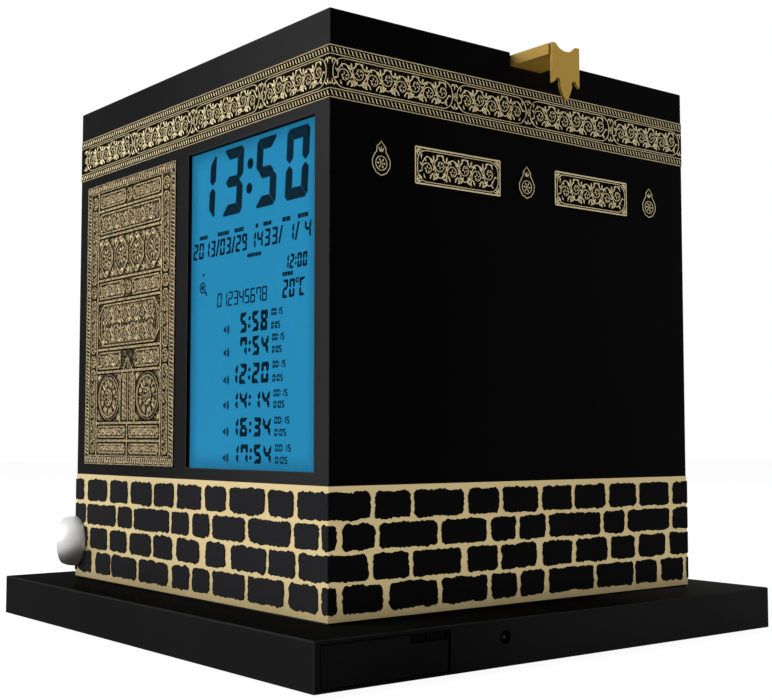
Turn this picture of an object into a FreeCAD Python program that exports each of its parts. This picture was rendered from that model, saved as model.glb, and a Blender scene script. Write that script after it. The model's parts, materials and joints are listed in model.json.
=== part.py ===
import FreeCAD, Part
import math
import os
import re
import Sketcher
from FreeCAD import Placement, Rotation, Vector

os.makedirs("parts", exist_ok=True)
doc = FreeCAD.newDocument("azan_clock")

# Driving sizes, mm.
# x runs across the display face, y runs back from it, z up; the origin is under the middle of the base
driving = {
    # cube
    "cube_width": 166, "cube_depth": 160, "cube_wall": 2.4, "edge_round": 0.5,
    "parapet_band": 10.9, "parapet_wall": 4, "roof_drop": 4.7, "roof_wall": 2.4,
    # base slab
    "foot_height": 1.5, "slab_height": 14, "slab_reach_x": 20.5, "slab_reach_y": 19.3,
    "slab_wall": 2, "slab_skin": 1.2, "slab_round": 0.5, "floor_wall": 2.4, "fit_gap": 0.25,
    "deck_open_x": 112, "deck_open_y": 84, "deck_open_mid_y": 24,
    # screws and bosses
    "boss_radius": 4, "screw_radius": 1.25, "screw_hole": 1.3, "screw_head_radius": 2.6,
    "screw_head_height": 1.6, "ear_bite": 4, "speaker_bite": 3.5, "base_bite": 6, "cube_bite": 10,
    "cube_boss_height": 14, "cube_boss_y": 25,
    # feet
    "foot_radius": 7, "foot_inset": 24, "foot_seat": 0.5,
    # gold bands
    "belt_clear": 3.4, "belt_height": 16.1, "belt_thick": 0.5,
    "stones_top": 39.5, "stones_gap": 0.6, "stones_thick": 0.6,
    # door relief
    "relief_left": 75.7, "relief_width": 68.5, "relief_clear": 3.9, "relief_thick": 1, "relief_seat": 0.6,
    # display
    "window_left": 1, "window_width": 74.6, "window_height": 106.2,
    "window_lip": 0.9, "lens_margin": 2.5, "lens_thick": 0.8, "lens_air": 0.15, "lens_gap": 0.2,
    "glass_thick": 2.2,
    "guide_thick": 3, "guide_ledge": 4.5, "frame_rim": 2, "frame_back": 2, "ear_reach": 6,
    "ear_x": 30, "board_gap": 3, "board_thick": 1.6, "board_width": 78,
    "zebra_width": 60, "zebra_thick": 2, "backlight_thick": 1.2, "backlight_gap": 0.3,
    # speaker behind the rear wall
    "speaker_radius": 28.5, "speaker_flange": 1.2, "speaker_depth": 15, "magnet_radius": 16,
    "magnet_height": 8, "speaker_height": 92, "slot_count": 9, "slot_pitch": 5, "slot_height": 2.4,
    "slot_width": 46, "speaker_post": 4, "speaker_screw_reach": 33,
    # rain spout
    "spout_width": 13.8, "spout_rise": 3.5, "spout_wall": 1, "spout_reach": 17.5, "spout_inside": 12,
    "spout_gap": 0.1, "beard_thick": 1, "beard_width": 12.4, "beard_top": 3.8, "beard_side": 9.3,
    "beard_tip": 14, "beard_dip": 2.1,
    # ornament plates on the spout side
    "plate_thick": 0.4, "panel_drop": 21.8, "panel_height": 12, "panel_length": 36.2,
    "panel_shift": 0.6, "drop_width": 8, "drop_height": 11.4, "drop_hang": 21.4, "drop_inset": 19,
    # corner stone button
    "ball_radius": 9.5, "ball_out": 0.8, "ball_height": 13.8, "ball_face": 4.4, "ball_back": 7,
    "ball_gap": 0.5, "stone_radius": 6.2, "stone_sink": 1.2, "stem_radius": 3,
    "stem_end": 21, "stem_gap": 0.05, "collar_start": 11, "collar_length": 6, "collar_radius": 6,
    "collar_plate": 1.6, "press_gap": 0.55, "switch_side": 6, "switch_depth": 4, "coil_wire": 0.7,
    "coil_radius": 4.1, "coil_turns": 3,
    # battery bay
    "cell_radius": 7.1, "cell_length": 49.2, "cell_pitch": 14.8, "cell_nub": 1, "cell_nub_radius": 2.7,
    "bay_mid_x": -14, "bay_mid_y": 22, "bay_wall": 1.6, "bay_gap": 0.35, "cell_rest": 0.15, "bay_spring": 5,
    "contact_thick": 0.4, "cover_thick": 1.6, "cover_gap": 0.3, "tab_width": 5, "tab_reach": 2.4,
    "tab_thick": 1.2, "latch_width": 12, "latch_depth": 3,
    # supply socket
    "jack_y": -30, "jack_drop": 5.4, "jack_bore": 2.1, "jack_side": 8,
    "jack_length": 11, "jack_bore_depth": 8.5,
    # key drawer
    "drawer_width": 44.3, "drawer_length": 50, "drawer_lip": 0.75, "drawer_gap": 0.3,
    "drawer_groove": 1.3, "drawer_front": 3.5, "drawer_wall": 1.5, "drawer_deck": 1.2,
    "deck_drop": 1.9, "grip_width": 13.9, "grip_height": 2.4, "grip_depth": 1.9, "rib_width": 0.6,
    "rib_pitch": 1.35, "rib_count": 5, "rib_depth": 0.7, "runner_wall": 1.6,
    "key_length": 9, "key_width": 6.5, "key_proud": 0.8, "key_gap": 0.3, "key_flange": 1,
    "key_flange_thick": 1.2, "key_travel_gap": 0.8, "key_pitch_x": 13.5, "key_pitch_y": 18,
    "post_radius": 3, "relief_raise": 0.3, "relief_border": 3.6, "relief_column": 6.3, "rail_width": 0.8,
    "sill_rail": 8.5, "foot_step": 6.5, "rosette_step": 19, "arch_step": 8.5, "cartouche_step": 17.9,
    "plaque_step": 8.3, "arcade_step": 16.5, "head_step": 10, "head_panel": 6.6,
    "frame_inset": 0.7, "frame_line": 0.5, "frame_corner": 1, "cartouche_corner": 4,
    "rosette_reach": 15, "rosette_radius": 7.5, "rosette_petals": 5.1, "rosette_hub": 3.1, "petal_radius": 1,
    "medal_radius": 2.3, "arch_half": 6, "arch_shoulder": 3.2, "arch_peak": 2.6, "seam_width": 0.7,
    "lamp_rise": 0.9, "lamp_pitch": 16, "board_post_x": 34, "board_post_z": 46, "ear_round": 6,
    "contact_coil_radius": 3, "contact_wire": 0.6, "contact_side": 10, "cover_ledge": 1.2,
    "tab_clear": 0.1, "latch_slit": 8, "jack_pin_radius": 0.65, "stone_dome_radius": 26,
    "stone_proud": 0.5, "collar_half": 7, "base_screw_inset": 11,
    "key_mid_x": 25, "key_board_margin": 2.4, "key_board_thick": 1.2, "key_round": 0.8,
}
# lengths and levels that follow from them
derived = {
    "foot_rail": "sill_rail + foot_step",
    "rosette_rail": "foot_rail + rosette_step",
    "arch_rail": "rosette_rail + arch_step",
    "cartouche_rail": "arch_rail + cartouche_step",
    "plaque_rail": "cartouche_rail + plaque_step",
    "arcade_rail": "plaque_rail + arcade_step",
    "head_rail": "arcade_rail + head_step",
    "relief_height": "head_rail + rail_width + head_panel + relief_border",
    "relief_bottom": "stones_top + relief_clear",
    "window_bottom": "relief_bottom",
    "belt_bottom": "relief_bottom + relief_height + belt_clear",
    "cube_height": "belt_bottom + belt_height + parapet_band",
    "panel_bottom": "belt_bottom - panel_drop",
    "drop_bottom": "belt_bottom - drop_hang",
    "drop_pitch": "cube_depth/2 - drop_inset",
    "panel_mid_front": "drop_pitch/2 - panel_shift",
    "panel_mid_rear": "drop_pitch/2 + panel_shift",
    "slab_width": "cube_width + 2*slab_reach_x",
    "slab_depth": "cube_depth + 2*slab_reach_y",
    "slab_top": "foot_height + slab_height",
    "floor_top": "foot_height + floor_wall",
    "ceiling": "slab_top - slab_skin",
    "cube_top": "slab_top + cube_height",
    "roof": "cube_top - roof_drop",
    "face": "-cube_depth/2",
    "face_inside": "face + cube_wall",
    "side": "cube_width/2",
    "lens_front": "face + window_lip",
    "lens_back": "lens_front + lens_thick",
    "glass_front": "lens_back + lens_air",
    "guide_front": "glass_front + glass_thick",
    "frame_floor": "guide_front + guide_thick",
    "frame_rear": "frame_floor + frame_back",
    "board_front": "frame_rear + board_gap",
    "board_rear": "board_front + board_thick",
    "window_x": "window_left + window_width/2",
    "window_z": "slab_top + window_bottom + window_height/2",
    "seat_x": "window_width/2 + lens_margin",
    "seat_z": "window_height/2 + lens_margin",
    "ear_z": "seat_z + frame_rim + ear_reach/2",
    "speaker_z": "slab_top + speaker_height",
    "back_inside": "cube_depth/2 - cube_wall",
    "speaker_front": "back_inside - speaker_post",
    "speaker_screw": "speaker_screw_reach*0.70710678",
    "relief_z": "slab_top + relief_bottom",
    "base_screw_x": "floor_x - base_screw_inset",
    "base_screw_y": "floor_y - base_screw_inset",
    "cube_boss_x": "side - cube_wall - boss_radius + 0.5",
    "floor_x": "slab_width/2 - slab_wall - fit_gap",
    "floor_y": "slab_depth/2 - slab_wall - fit_gap",
    "foot_x": "slab_width/2 - foot_inset",
    "foot_y": "slab_depth/2 - foot_inset",
    "ball_z": "slab_top + ball_height",
    "bay_x": "cell_pitch*1.5 + bay_gap",
    "bay_y": "(cell_length + cell_nub + bay_spring)/2",
    "cell_z": "floor_top + cell_rest + cell_radius",
    "bay_ceiling": "cell_z + cell_radius + bay_gap",
    "bay_left": "bay_mid_x - bay_x",
    "bay_right": "bay_mid_x + bay_x",
    "bay_front": "bay_mid_y - bay_y",
    "bay_back": "bay_mid_y + bay_y",
    "cover_back": "bay_back - tab_reach - 1",
    "jack_z": "slab_top - jack_drop",
    "slab_side": "slab_width/2",
    "slab_side_inside": "slab_side - slab_wall",
    "drawer_left": "-slab_depth/2 + slab_wall + drawer_gap",
    "drawer_right": "drawer_left + drawer_width",
    "drawer_mid": "drawer_left + drawer_width/2",
    "drawer_bottom": "floor_top + drawer_gap",
    "drawer_top": "ceiling - drawer_gap",
    "drawer_rear": "slab_side - drawer_length",
    "deck_top": "ceiling - deck_drop",
    "deck_under": "deck_top - drawer_deck",
    "key_top": "deck_top + key_proud",
    "key_under": "deck_under - key_flange_thick",
    "key_board_top": "key_under - key_travel_gap",
    "key_board_under": "key_board_top - key_board_thick",
    "key_x": "slab_side - key_mid_x",
}

sizes = doc.addObject("Spreadsheet::Sheet", "sizes")
for row, (name, number) in enumerate(driving.items(), 1):
    sizes.set(f"A{row}", name)
    sizes.set(f"B{row}", str(number))
    sizes.setAlias(f"B{row}", name)
doc.recompute()


def formula(text):
    """The text with each derived name opened up and each driving name read from the sheet."""
    def opened(word):
        name = word[0]
        if name in derived:
            return "(" + formula(derived[name]) + ")"
        return "sizes." + name if name in driving else name
    return re.sub(r"[a-z][a-z_]*[a-z]|[a-z]", opened, text)


def bind(item, path, text):
    item.setExpression(path, formula(text))


def value(name):
    """A driving size as a number, for the shapes that take points."""
    return float(sizes.get(name))


def new_body(label):
    body = doc.addObject("PartDesign::Body", label)
    body.Label = label
    return body


def new_sketch(body, plane, level="0"):
    """A sketch on one of the body's own planes, moved to a level along x, y or z."""
    sketch = body.newObject("Sketcher::SketchObject", body.Name + "_sketch")
    support = next(item for item in body.Origin.OriginFeatures if item.Role == plane + "_Plane")
    sketch.AttachmentSupport = [(support, "")]
    sketch.MapMode = "FlatFace"
    bind(sketch, "AttachmentOffset.Base.z", f"-({level})" if plane == "XZ" else level)
    return sketch


def place_point(sketch, geometry, position, across, up):
    for kind, text in (("DistanceX", across), ("DistanceY", up)):
        number = sketch.addConstraint(Sketcher.Constraint(kind, -1, 1, geometry, position, 1.0))
        bind(sketch, f"Constraints[{number}]", text)


def outline(sketch, corners):
    """A closed outline of straight edges through the corners, each an (across, up) pair of texts."""
    first = sketch.GeometryCount
    count = len(corners)
    turns = [2*math.pi*index/count for index in range(count + 1)]
    spots = [Vector(20*math.cos(turn), 20*math.sin(turn), 0) for turn in turns]
    for start, end in zip(spots, spots[1:]):
        sketch.addGeometry(Part.LineSegment(start, end), False)
    for index in range(count):
        after = first + (index + 1) % count
        sketch.addConstraint(Sketcher.Constraint("Coincident", first + index, 2, after, 1))
    for index, (across, up) in enumerate(corners):
        place_point(sketch, first + index, 1, across, up)


def rectangle(sketch, left, right, bottom, top):
    outline(sketch, [(left, bottom), (right, bottom), (right, top), (left, top)])


def circle(sketch, across, up, radius):
    number = sketch.addGeometry(Part.Circle(Vector(1, 1, 0), Vector(0, 0, 1), 1), False)
    place_point(sketch, number, 3, across, up)
    size = sketch.addConstraint(Sketcher.Constraint("Radius", number, 1.0))
    bind(sketch, f"Constraints[{size}]", radius)


def extrude(kind, sketch, length, reverse=False):
    body = sketch.getParentGeoFeatureGroup()
    before = body.Shape.Volume if kind == "Pocket" else 0
    feature = body.newObject("PartDesign::" + kind, body.Name + "_" + kind.lower())
    feature.Profile = sketch
    feature.Reversed = reverse
    bind(feature, "Length", length)
    doc.recompute()
    if kind == "Pocket" and body.Shape.Volume > before - 1e-3:
        raise RuntimeError(feature.Name + " cuts nothing")
    return feature


def pad(sketch, length, reverse=False):
    return extrude("Pad", sketch, length, reverse)


def pocket(sketch, length, reverse=False):
    return extrude("Pocket", sketch, length, reverse)


def round_edges(body, radius, chosen):
    """Rounds the edges of the body's tip for which chosen(edge) is true."""
    base = body.Tip
    names = [f"Edge{n}" for n, edge in enumerate(base.Shape.Edges, 1) if chosen(edge)]
    feature = body.newObject("PartDesign::Fillet", body.Name + "_round")
    feature.Base = (base, names)
    bind(feature, "Radius", radius)
    doc.recompute()
    return feature


def row_of(feature, sketch, axis, pitch, count):
    """Repeats a feature along one axis of its sketch."""
    body = sketch.getParentGeoFeatureGroup()
    pattern = body.newObject("PartDesign::LinearPattern", body.Name + "_row")
    pattern.Originals = [feature]
    pattern.Direction = (sketch, [axis])
    bind(pattern, "Occurrences", count)
    bind(pattern, "Length", f"({pitch})*({count} - 1)")
    body.Tip = pattern
    doc.recompute()
    return pattern


def is_upright(edge):
    ends = [vertex.Point for vertex in edge.Vertexes]
    return len(ends) == 2 and abs((ends[0] - ends[1]).normalize().z) > 0.999


def lies_at(edge, height):
    return abs(edge.BoundBox.ZMin - height) < 1e-4 and abs(edge.BoundBox.ZMax - height) < 1e-4


def box(label, low, high):
    """A block between two corners."""
    item = doc.addObject("Part::Box", label)
    for length, axis, start, end in zip(("Length", "Width", "Height"), "xyz", low, high):
        bind(item, length, f"({end}) - ({start})")
        bind(item, "Placement.Base." + axis, start)
    return item


turned = {"z": Rotation(), "x": Rotation(Vector(0, 1, 0), 90), "y": Rotation(Vector(1, 0, 0), -90)}


def rod(label, start, radius, length, axis="z"):
    """A cylinder that runs from a point along +x, +y or +z."""
    item = doc.addObject("Part::Cylinder", label)
    item.Placement = Placement(Vector(), turned[axis])
    bind(item, "Radius", radius)
    bind(item, "Height", length)
    for side, text in zip("xyz", start):
        bind(item, "Placement.Base." + side, text)
    return item


def cut(label, base, *tools):
    item = doc.addObject("Part::Cut", label)
    item.Base = base
    item.Tool = tools[0] if len(tools) == 1 else fuse(label + "_tools", *tools)
    return item


def fuse(label, *pieces):
    item = doc.addObject("Part::MultiFuse", label)
    item.Shapes = list(pieces)
    return item


def group(label, pieces):
    """Alike pieces that stay separate solids in one node."""
    item = doc.addObject("Part::Compound", label)
    item.Links = list(pieces)
    return item


def along_diagonal(item, start, height="ball_z"):
    """Turns an item whose own axis is +z onto the line that runs inward from the front left corner."""
    item.Placement = Placement(Vector(), Rotation(Vector(0, 0, 1), Vector(1, 1, 0)))
    bind(item, "Placement.Base.x", f"-cube_width/2 + ({start})*0.70710678")
    bind(item, "Placement.Base.y", f"-cube_depth/2 + ({start})*0.70710678")
    bind(item, "Placement.Base.z", height)
    return item


def corner_ball(body, gap):
    """Hollows the front left corner round the ball of the stone button."""
    feature = body.newObject("PartDesign::SubtractiveSphere", body.Name + "_ball")
    bind(feature, "Radius", f"ball_radius + {gap}")
    support = next(item for item in body.Origin.OriginFeatures if item.Role == "XY_Plane")
    feature.AttachmentSupport = [(support, "")]
    feature.MapMode = "FlatFace"
    bind(feature, "AttachmentOffset.Base.x", "-cube_width/2 - ball_out*0.70710678")
    bind(feature, "AttachmentOffset.Base.y", "-cube_depth/2 - ball_out*0.70710678")
    bind(feature, "AttachmentOffset.Base.z", "ball_z")
    doc.recompute()
    return feature


kept = []


def keep(item):
    """Marks a finished piece, whose label names its file."""
    kept.append(item)
    return item


def four_corners(sketch, across, up, radius, mid_x="0", mid_y="0"):
    for side in ("-", "+"):
        for rise in ("-", "+"):
            circle(sketch, f"{mid_x} {side} ({across})", f"{mid_y} {rise} ({up})", radius)


def screw(label, seat, axis, forward, length):
    """A pan-head screw: seat is the point under its head, forward says which way the shank points."""
    index = "xyz".index(axis)
    shank_from = list(seat)
    head_from = list(seat)
    if forward:
        head_from[index] = f"{seat[index]} - screw_head_height"
    else:
        shank_from[index] = f"{seat[index]} - ({length})"
    shank = rod(label + "_shank", shank_from, "screw_radius", length, axis)
    head = rod(label + "_head", head_from, "screw_head_radius", "screw_head_height", axis)
    return fuse(label, shank, head)


def make_cube_housing():
    body = new_body("cube_housing")
    sketch = new_sketch(body, "XY", "slab_top")
    rectangle(sketch, "-side", "side", "face", "-face")
    pad(sketch, "cube_height")
    round_edges(body, "edge_round", lambda edge: is_upright(edge) or lies_at(edge, body.Shape.BoundBox.ZMax))
    sketch = new_sketch(body, "XY", "slab_top")
    rectangle(sketch, "-side + cube_wall", "side - cube_wall", "face_inside", "-face_inside")
    pocket(sketch, "cube_height - roof_drop - roof_wall", True)
    # sunk roof inside the parapet, and the gap in the parapet for the rain spout
    sketch = new_sketch(body, "XY", "cube_top")
    rectangle(sketch, "-side + parapet_wall", "side - parapet_wall", "face + parapet_wall",
              "-face - parapet_wall")
    pocket(sketch, "roof_drop")
    sketch = new_sketch(body, "YZ", "side")
    rectangle(sketch, "-spout_width/2 - spout_gap", "spout_width/2 + spout_gap", "roof", "cube_top + 1")
    pocket(sketch, "parapet_wall + 1")
    # grooves for the two gold bands
    for low, height, depth in (("slab_top", "stones_top", "stones_thick"),
                               ("slab_top + belt_bottom", "belt_height", "belt_thick")):
        sketch = new_sketch(body, "XY", low)
        rectangle(sketch, "-side - 1", "side + 1", "face - 1", "-face + 1")
        rectangle(sketch, f"-side + {depth}", f"side - {depth}", f"face + {depth}", f"-face - {depth}")
        pocket(sketch, height, True)
    # seat of the door relief, window, and the seat of the lens behind it
    sketch = new_sketch(body, "XZ", "face")
    rectangle(sketch, "-relief_left", "relief_width - relief_left", "relief_z", "relief_z + relief_height")
    pocket(sketch, "relief_seat")
    sketch = new_sketch(body, "XZ", "face")
    rectangle(sketch, "window_left", "window_left + window_width", "window_z - window_height/2",
              "window_z + window_height/2")
    pocket(sketch, "cube_wall")
    sketch = new_sketch(body, "XZ", "face_inside")
    rectangle(sketch, "window_x - seat_x", "window_x + seat_x", "window_z - seat_z", "window_z + seat_z")
    pocket(sketch, "cube_wall - window_lip", True)
    # posts for the display frame on the front wall and for the speaker on the rear wall
    sketch = new_sketch(body, "XZ", "face_inside - 0.5")
    four_corners(sketch, "ear_x", "ear_z", "post_radius", "window_x", "window_z")
    pad(sketch, "frame_floor - face_inside + 0.5", True)
    sketch = new_sketch(body, "XZ", "frame_floor")
    four_corners(sketch, "ear_x", "ear_z", "screw_hole", "window_x", "window_z")
    pocket(sketch, "frame_floor - face_inside + 0.5", True)
    sketch = new_sketch(body, "XZ", "speaker_front")
    four_corners(sketch, "speaker_screw", "speaker_screw", "post_radius", "0", "speaker_z")
    pad(sketch, "speaker_post + 0.5", True)
    sketch = new_sketch(body, "XZ", "speaker_front")
    four_corners(sketch, "speaker_screw", "speaker_screw", "screw_hole", "0", "speaker_z")
    pocket(sketch, "speaker_post + 1")
    # bosses that take the screws from the base
    sketch = new_sketch(body, "XY", "slab_top")
    four_corners(sketch, "cube_boss_x", "cube_boss_y", "boss_radius")
    pad(sketch, "cube_boss_height")
    sketch = new_sketch(body, "XY", "slab_top")
    four_corners(sketch, "cube_boss_x", "cube_boss_y", "screw_hole")
    pocket(sketch, "cube_boss_height - 1.5", True)
    corner_ball(body, "ball_gap")
    # sound slots, one above the other
    sketch = new_sketch(body, "XZ", "-face")
    lowest = "speaker_z - slot_pitch*(slot_count - 1)/2"
    rectangle(sketch, "-slot_width/2", "slot_width/2", f"{lowest} - slot_height/2",
              f"{lowest} + slot_height/2")
    slot = pocket(sketch, "cube_wall", True)
    row_of(slot, sketch, "V_Axis", "slot_pitch", "slot_count")
    return body


def make_cube_screws():
    places = [(side, back) for side in "-+" for back in "-+"]
    return group("cube_screws", [
        screw(f"cube_screw_{n}", (f"{side} cube_boss_x", f"{back} cube_boss_y", "ceiling"), "z", True,
              "cube_bite") for n, (side, back) in enumerate(places, 1)])


def make_stone_band():
    """The gold sleeve round the foot of the cube, which the dark courses of stone lie on."""
    body = new_body("stone_band")
    sketch = new_sketch(body, "XY", "slab_top + stones_gap")
    rectangle(sketch, "-side", "side", "face", "-face")
    rectangle(sketch, "-side + stones_thick", "side - stones_thick", "face + stones_thick",
              "-face - stones_thick")
    pad(sketch, "stones_top - stones_gap")
    corner_ball(body, "ball_gap")
    return body


def make_belt(label, low_x, high_x, low_y, high_y):
    low = "slab_top + belt_bottom"
    return box(label, (low_x, low_y, low), (high_x, high_y, f"{low} + belt_height"))


def frame_line(sketch, left, right, low, high, corner="frame_corner"):
    """A thin raised frame with cut corners, set a little inside its field."""
    for inset in ("frame_inset", "(frame_inset + frame_line)"):
        west, east = f"{left} + {inset}", f"{right} - {inset}"
        south, north = f"{low} + {inset}", f"{high} - {inset}"
        outline(sketch, [
            (f"{west} + {corner}", south), (f"{east} - {corner}", south), (east, f"{south} + {corner}"),
            (east, f"{north} - {corner}"), (f"{east} - {corner}", north), (f"{west} + {corner}", north),
            (west, f"{north} - {corner}"), (west, f"{south} + {corner}")])


def ring_line(sketch, across, up, radius):
    circle(sketch, across, up, radius)
    circle(sketch, across, up, f"{radius} - frame_line")


def make_door_relief():
    """A pressed door: a raised border, columns, rails, framed fields, an arch and two rosettes."""
    body = new_body("door_relief")
    left = "-relief_left"
    right = "relief_width - relief_left"
    mid = "relief_width/2 - relief_left"
    top = "relief_z + relief_height"
    sketch = new_sketch(body, "XZ", "face + relief_seat")
    rectangle(sketch, left, right, "relief_z", top)
    pad(sketch, "relief_thick - relief_raise")
    front = "face + relief_seat - relief_thick + relief_raise"
    column = "(relief_border + relief_column)"
    west, east = f"{left} + {column}", f"{right} - {column}"
    sketch = new_sketch(body, "XZ", front)
    rectangle(sketch, left, right, "relief_z", top)
    rectangle(sketch, f"{left} + relief_border", f"{right} - relief_border", "relief_z + relief_border",
              f"{top} - relief_border")
    pad(sketch, "relief_raise")
    sketch = new_sketch(body, "XZ", front)
    rails = ("sill_rail", "foot_rail", "rosette_rail", "arch_rail", "cartouche_rail", "plaque_rail",
             "arcade_rail", "head_rail")
    for rail in rails:
        rectangle(sketch, west, east, f"relief_z + {rail}", f"relief_z + {rail} + rail_width")
    pad(sketch, "relief_raise")
    sketch = new_sketch(body, "XZ", front)
    for edge in (f"{west} - rail_width", east):
        rectangle(sketch, edge, f"{edge} + rail_width", "relief_z + relief_border", f"{top} - relief_border")
    rectangle(sketch, f"{mid} - seam_width/2", f"{mid} + seam_width/2", "relief_z + relief_border",
              "relief_z + foot_rail + rail_width/2")
    pad(sketch, "relief_raise")
    # framed fields between the rails, halved where the row has a medallion, the arch or the seam
    fields = {name: (f"relief_z + {low} + rail_width", f"relief_z + {high}") for name, low, high in (
        ("sill", "sill_rail", "foot_rail"), ("arch", "rosette_rail", "arch_rail"),
        ("cartouche", "arch_rail", "cartouche_rail"), ("plaque", "cartouche_rail", "plaque_rail"),
        ("arcade", "plaque_rail", "arcade_rail"), ("lintel", "arcade_rail", "head_rail"))}
    fields["foot"] = ("relief_z + relief_border", "relief_z + sill_rail")
    fields["head"] = ("relief_z + head_rail + rail_width", f"{top} - relief_border")
    gaps = {"foot": "seam_width", "sill": "seam_width", "arch": "arch_half*0.8", "plaque": "medal_radius",
            "head": "medal_radius"}
    for name, gap in gaps.items():
        sketch = new_sketch(body, "XZ", front)
        frame_line(sketch, west, f"{mid} - {gap}", *fields[name])
        frame_line(sketch, f"{mid} + {gap}", east, *fields[name])
        pad(sketch, "relief_raise")
    for name, corner in (("lintel", "frame_corner"), ("cartouche", "cartouche_corner")):
        sketch = new_sketch(body, "XZ", front)
        frame_line(sketch, west, east, *fields[name], corner)
        pad(sketch, "relief_raise")
    bay = "(relief_width/4 - relief_border/2 - relief_column/2)"
    for n in range(4):
        sketch = new_sketch(body, "XZ", front)
        frame_line(sketch, f"{west} + {n}*{bay}", f"{west} + {n + 1}*{bay}", *fields["arcade"], f"{bay}/2.6")
        pad(sketch, "relief_raise")
    # columns: a ring beside each low row, and long frames between the rings
    levels = [f"({fields[name][0]} + {fields[name][1]})/2" for name in ("arch", "plaque", "head")]
    stops = ["relief_z + relief_border"] + [f"{level} + medal_radius" for level in levels]
    starts = (f"{left} + relief_border", f"{east} + rail_width")
    sketch = new_sketch(body, "XZ", front)
    for level in levels[1:]:
        ring_line(sketch, mid, level, "medal_radius")
    for start in starts:
        for level in levels:
            ring_line(sketch, f"{start} + (relief_column - rail_width)/2", level, "medal_radius")
    pad(sketch, "relief_raise")
    for start in starts:
        for below, level in zip(stops, levels):
            sketch = new_sketch(body, "XZ", front)
            frame_line(sketch, start, f"{start} + relief_column - rail_width", below,
                       f"{level} - medal_radius")
            pad(sketch, "relief_raise")
    # two rosettes and the pointed arch between them
    sketch = new_sketch(body, "XZ", front)
    rosette_z = "(relief_z + foot_rail + rosette_step/2 + rail_width/2)"
    for sign in "-+":
        middle = f"{mid} {sign} rosette_reach"
        ring_line(sketch, middle, rosette_z, "rosette_radius")
        ring_line(sketch, middle, rosette_z, "rosette_hub")
        for n in range(8):
            turn = math.pi*(n + 0.5)/4
            circle(sketch, f"{middle} + rosette_petals*{math.cos(turn):.6f}",
                   f"{rosette_z} + rosette_petals*{math.sin(turn):.6f}", "petal_radius")
    pad(sketch, "relief_raise")
    sketch = new_sketch(body, "XZ", front)
    for inset in ("0", "rail_width"):
        half = f"(arch_half - {inset})"
        spring = "relief_z + rosette_rail - arch_shoulder"
        outline(sketch, [
            (f"{mid} - {half}", f"relief_z + foot_rail + {inset}"),
            (f"{mid} + {half}", f"relief_z + foot_rail + {inset}"), (f"{mid} + {half}", spring),
            (f"{mid} + {half}*0.72", f"{spring} + arch_shoulder"),
            (mid, f"relief_z + arch_rail - arch_peak - {inset}*1.2"),
            (f"{mid} - {half}*0.72", f"{spring} + arch_shoulder"), (f"{mid} - {half}", spring)])
    pad(sketch, "relief_raise")
    return body


def make_display():
    """Lens, display glass, light guide with its lamp strip, and the rubber contact strips."""
    across = "(seat_x - lens_gap)"
    tall = "(seat_z - lens_gap)"
    left, right = f"window_x - {across}", f"window_x + {across}"
    low, high = f"window_z - {tall}", f"window_z + {tall}"
    lens = box("display_lens", (left, "lens_front", low), (right, "lens_back", high))
    front = box("lcd_front_glass", (left, "glass_front", low), (right, "glass_front + glass_thick/2", high))
    ledge = "guide_ledge"
    rear = box("lcd_rear_glass", (left, "glass_front + glass_thick/2", f"{low} + {ledge}"),
               (right, "guide_front", f"{high} - {ledge}"))
    glass = fuse("lcd_panel", front, rear)
    lamp_edge = f"{left} + backlight_thick"
    guide = box("light_guide",
                (f"{lamp_edge} + backlight_gap + lamp_rise", "guide_front", f"{low} + {ledge}"),
                (right, "frame_floor", f"{high} - {ledge}"))
    strip = box("backlight_base", (left, "guide_front", f"{low} + {ledge}"),
                (lamp_edge, "frame_floor", f"{high} - {ledge}"))
    lamps = [strip]
    for n in range(6):
        spot = f"{low} + {ledge} + lamp_pitch*{n} + lamp_pitch/2"
        lamps.append(box(f"backlight_lamp_{n}", (lamp_edge, "guide_front + 0.6", f"{spot} - 1.5"),
                         (f"{lamp_edge} + lamp_rise", "frame_floor - 0.6", f"{spot} + 1.5")))
    backlight = fuse("backlight_strip", *lamps)
    strips = []
    for n, up in enumerate(("-", "+")):
        middle = f"window_z {up} (seat_z - lens_gap - {ledge}/2)"
        strips.append(box(f"zebra_strip_{n}", ("window_x - zebra_width/2", "glass_front + glass_thick/2",
                                               f"{middle} - zebra_thick/2"),
                          ("window_x + zebra_width/2", "board_front", f"{middle} + zebra_thick/2")))
    return [lens, glass, guide, backlight, group("zebra_strips", strips)]


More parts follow.
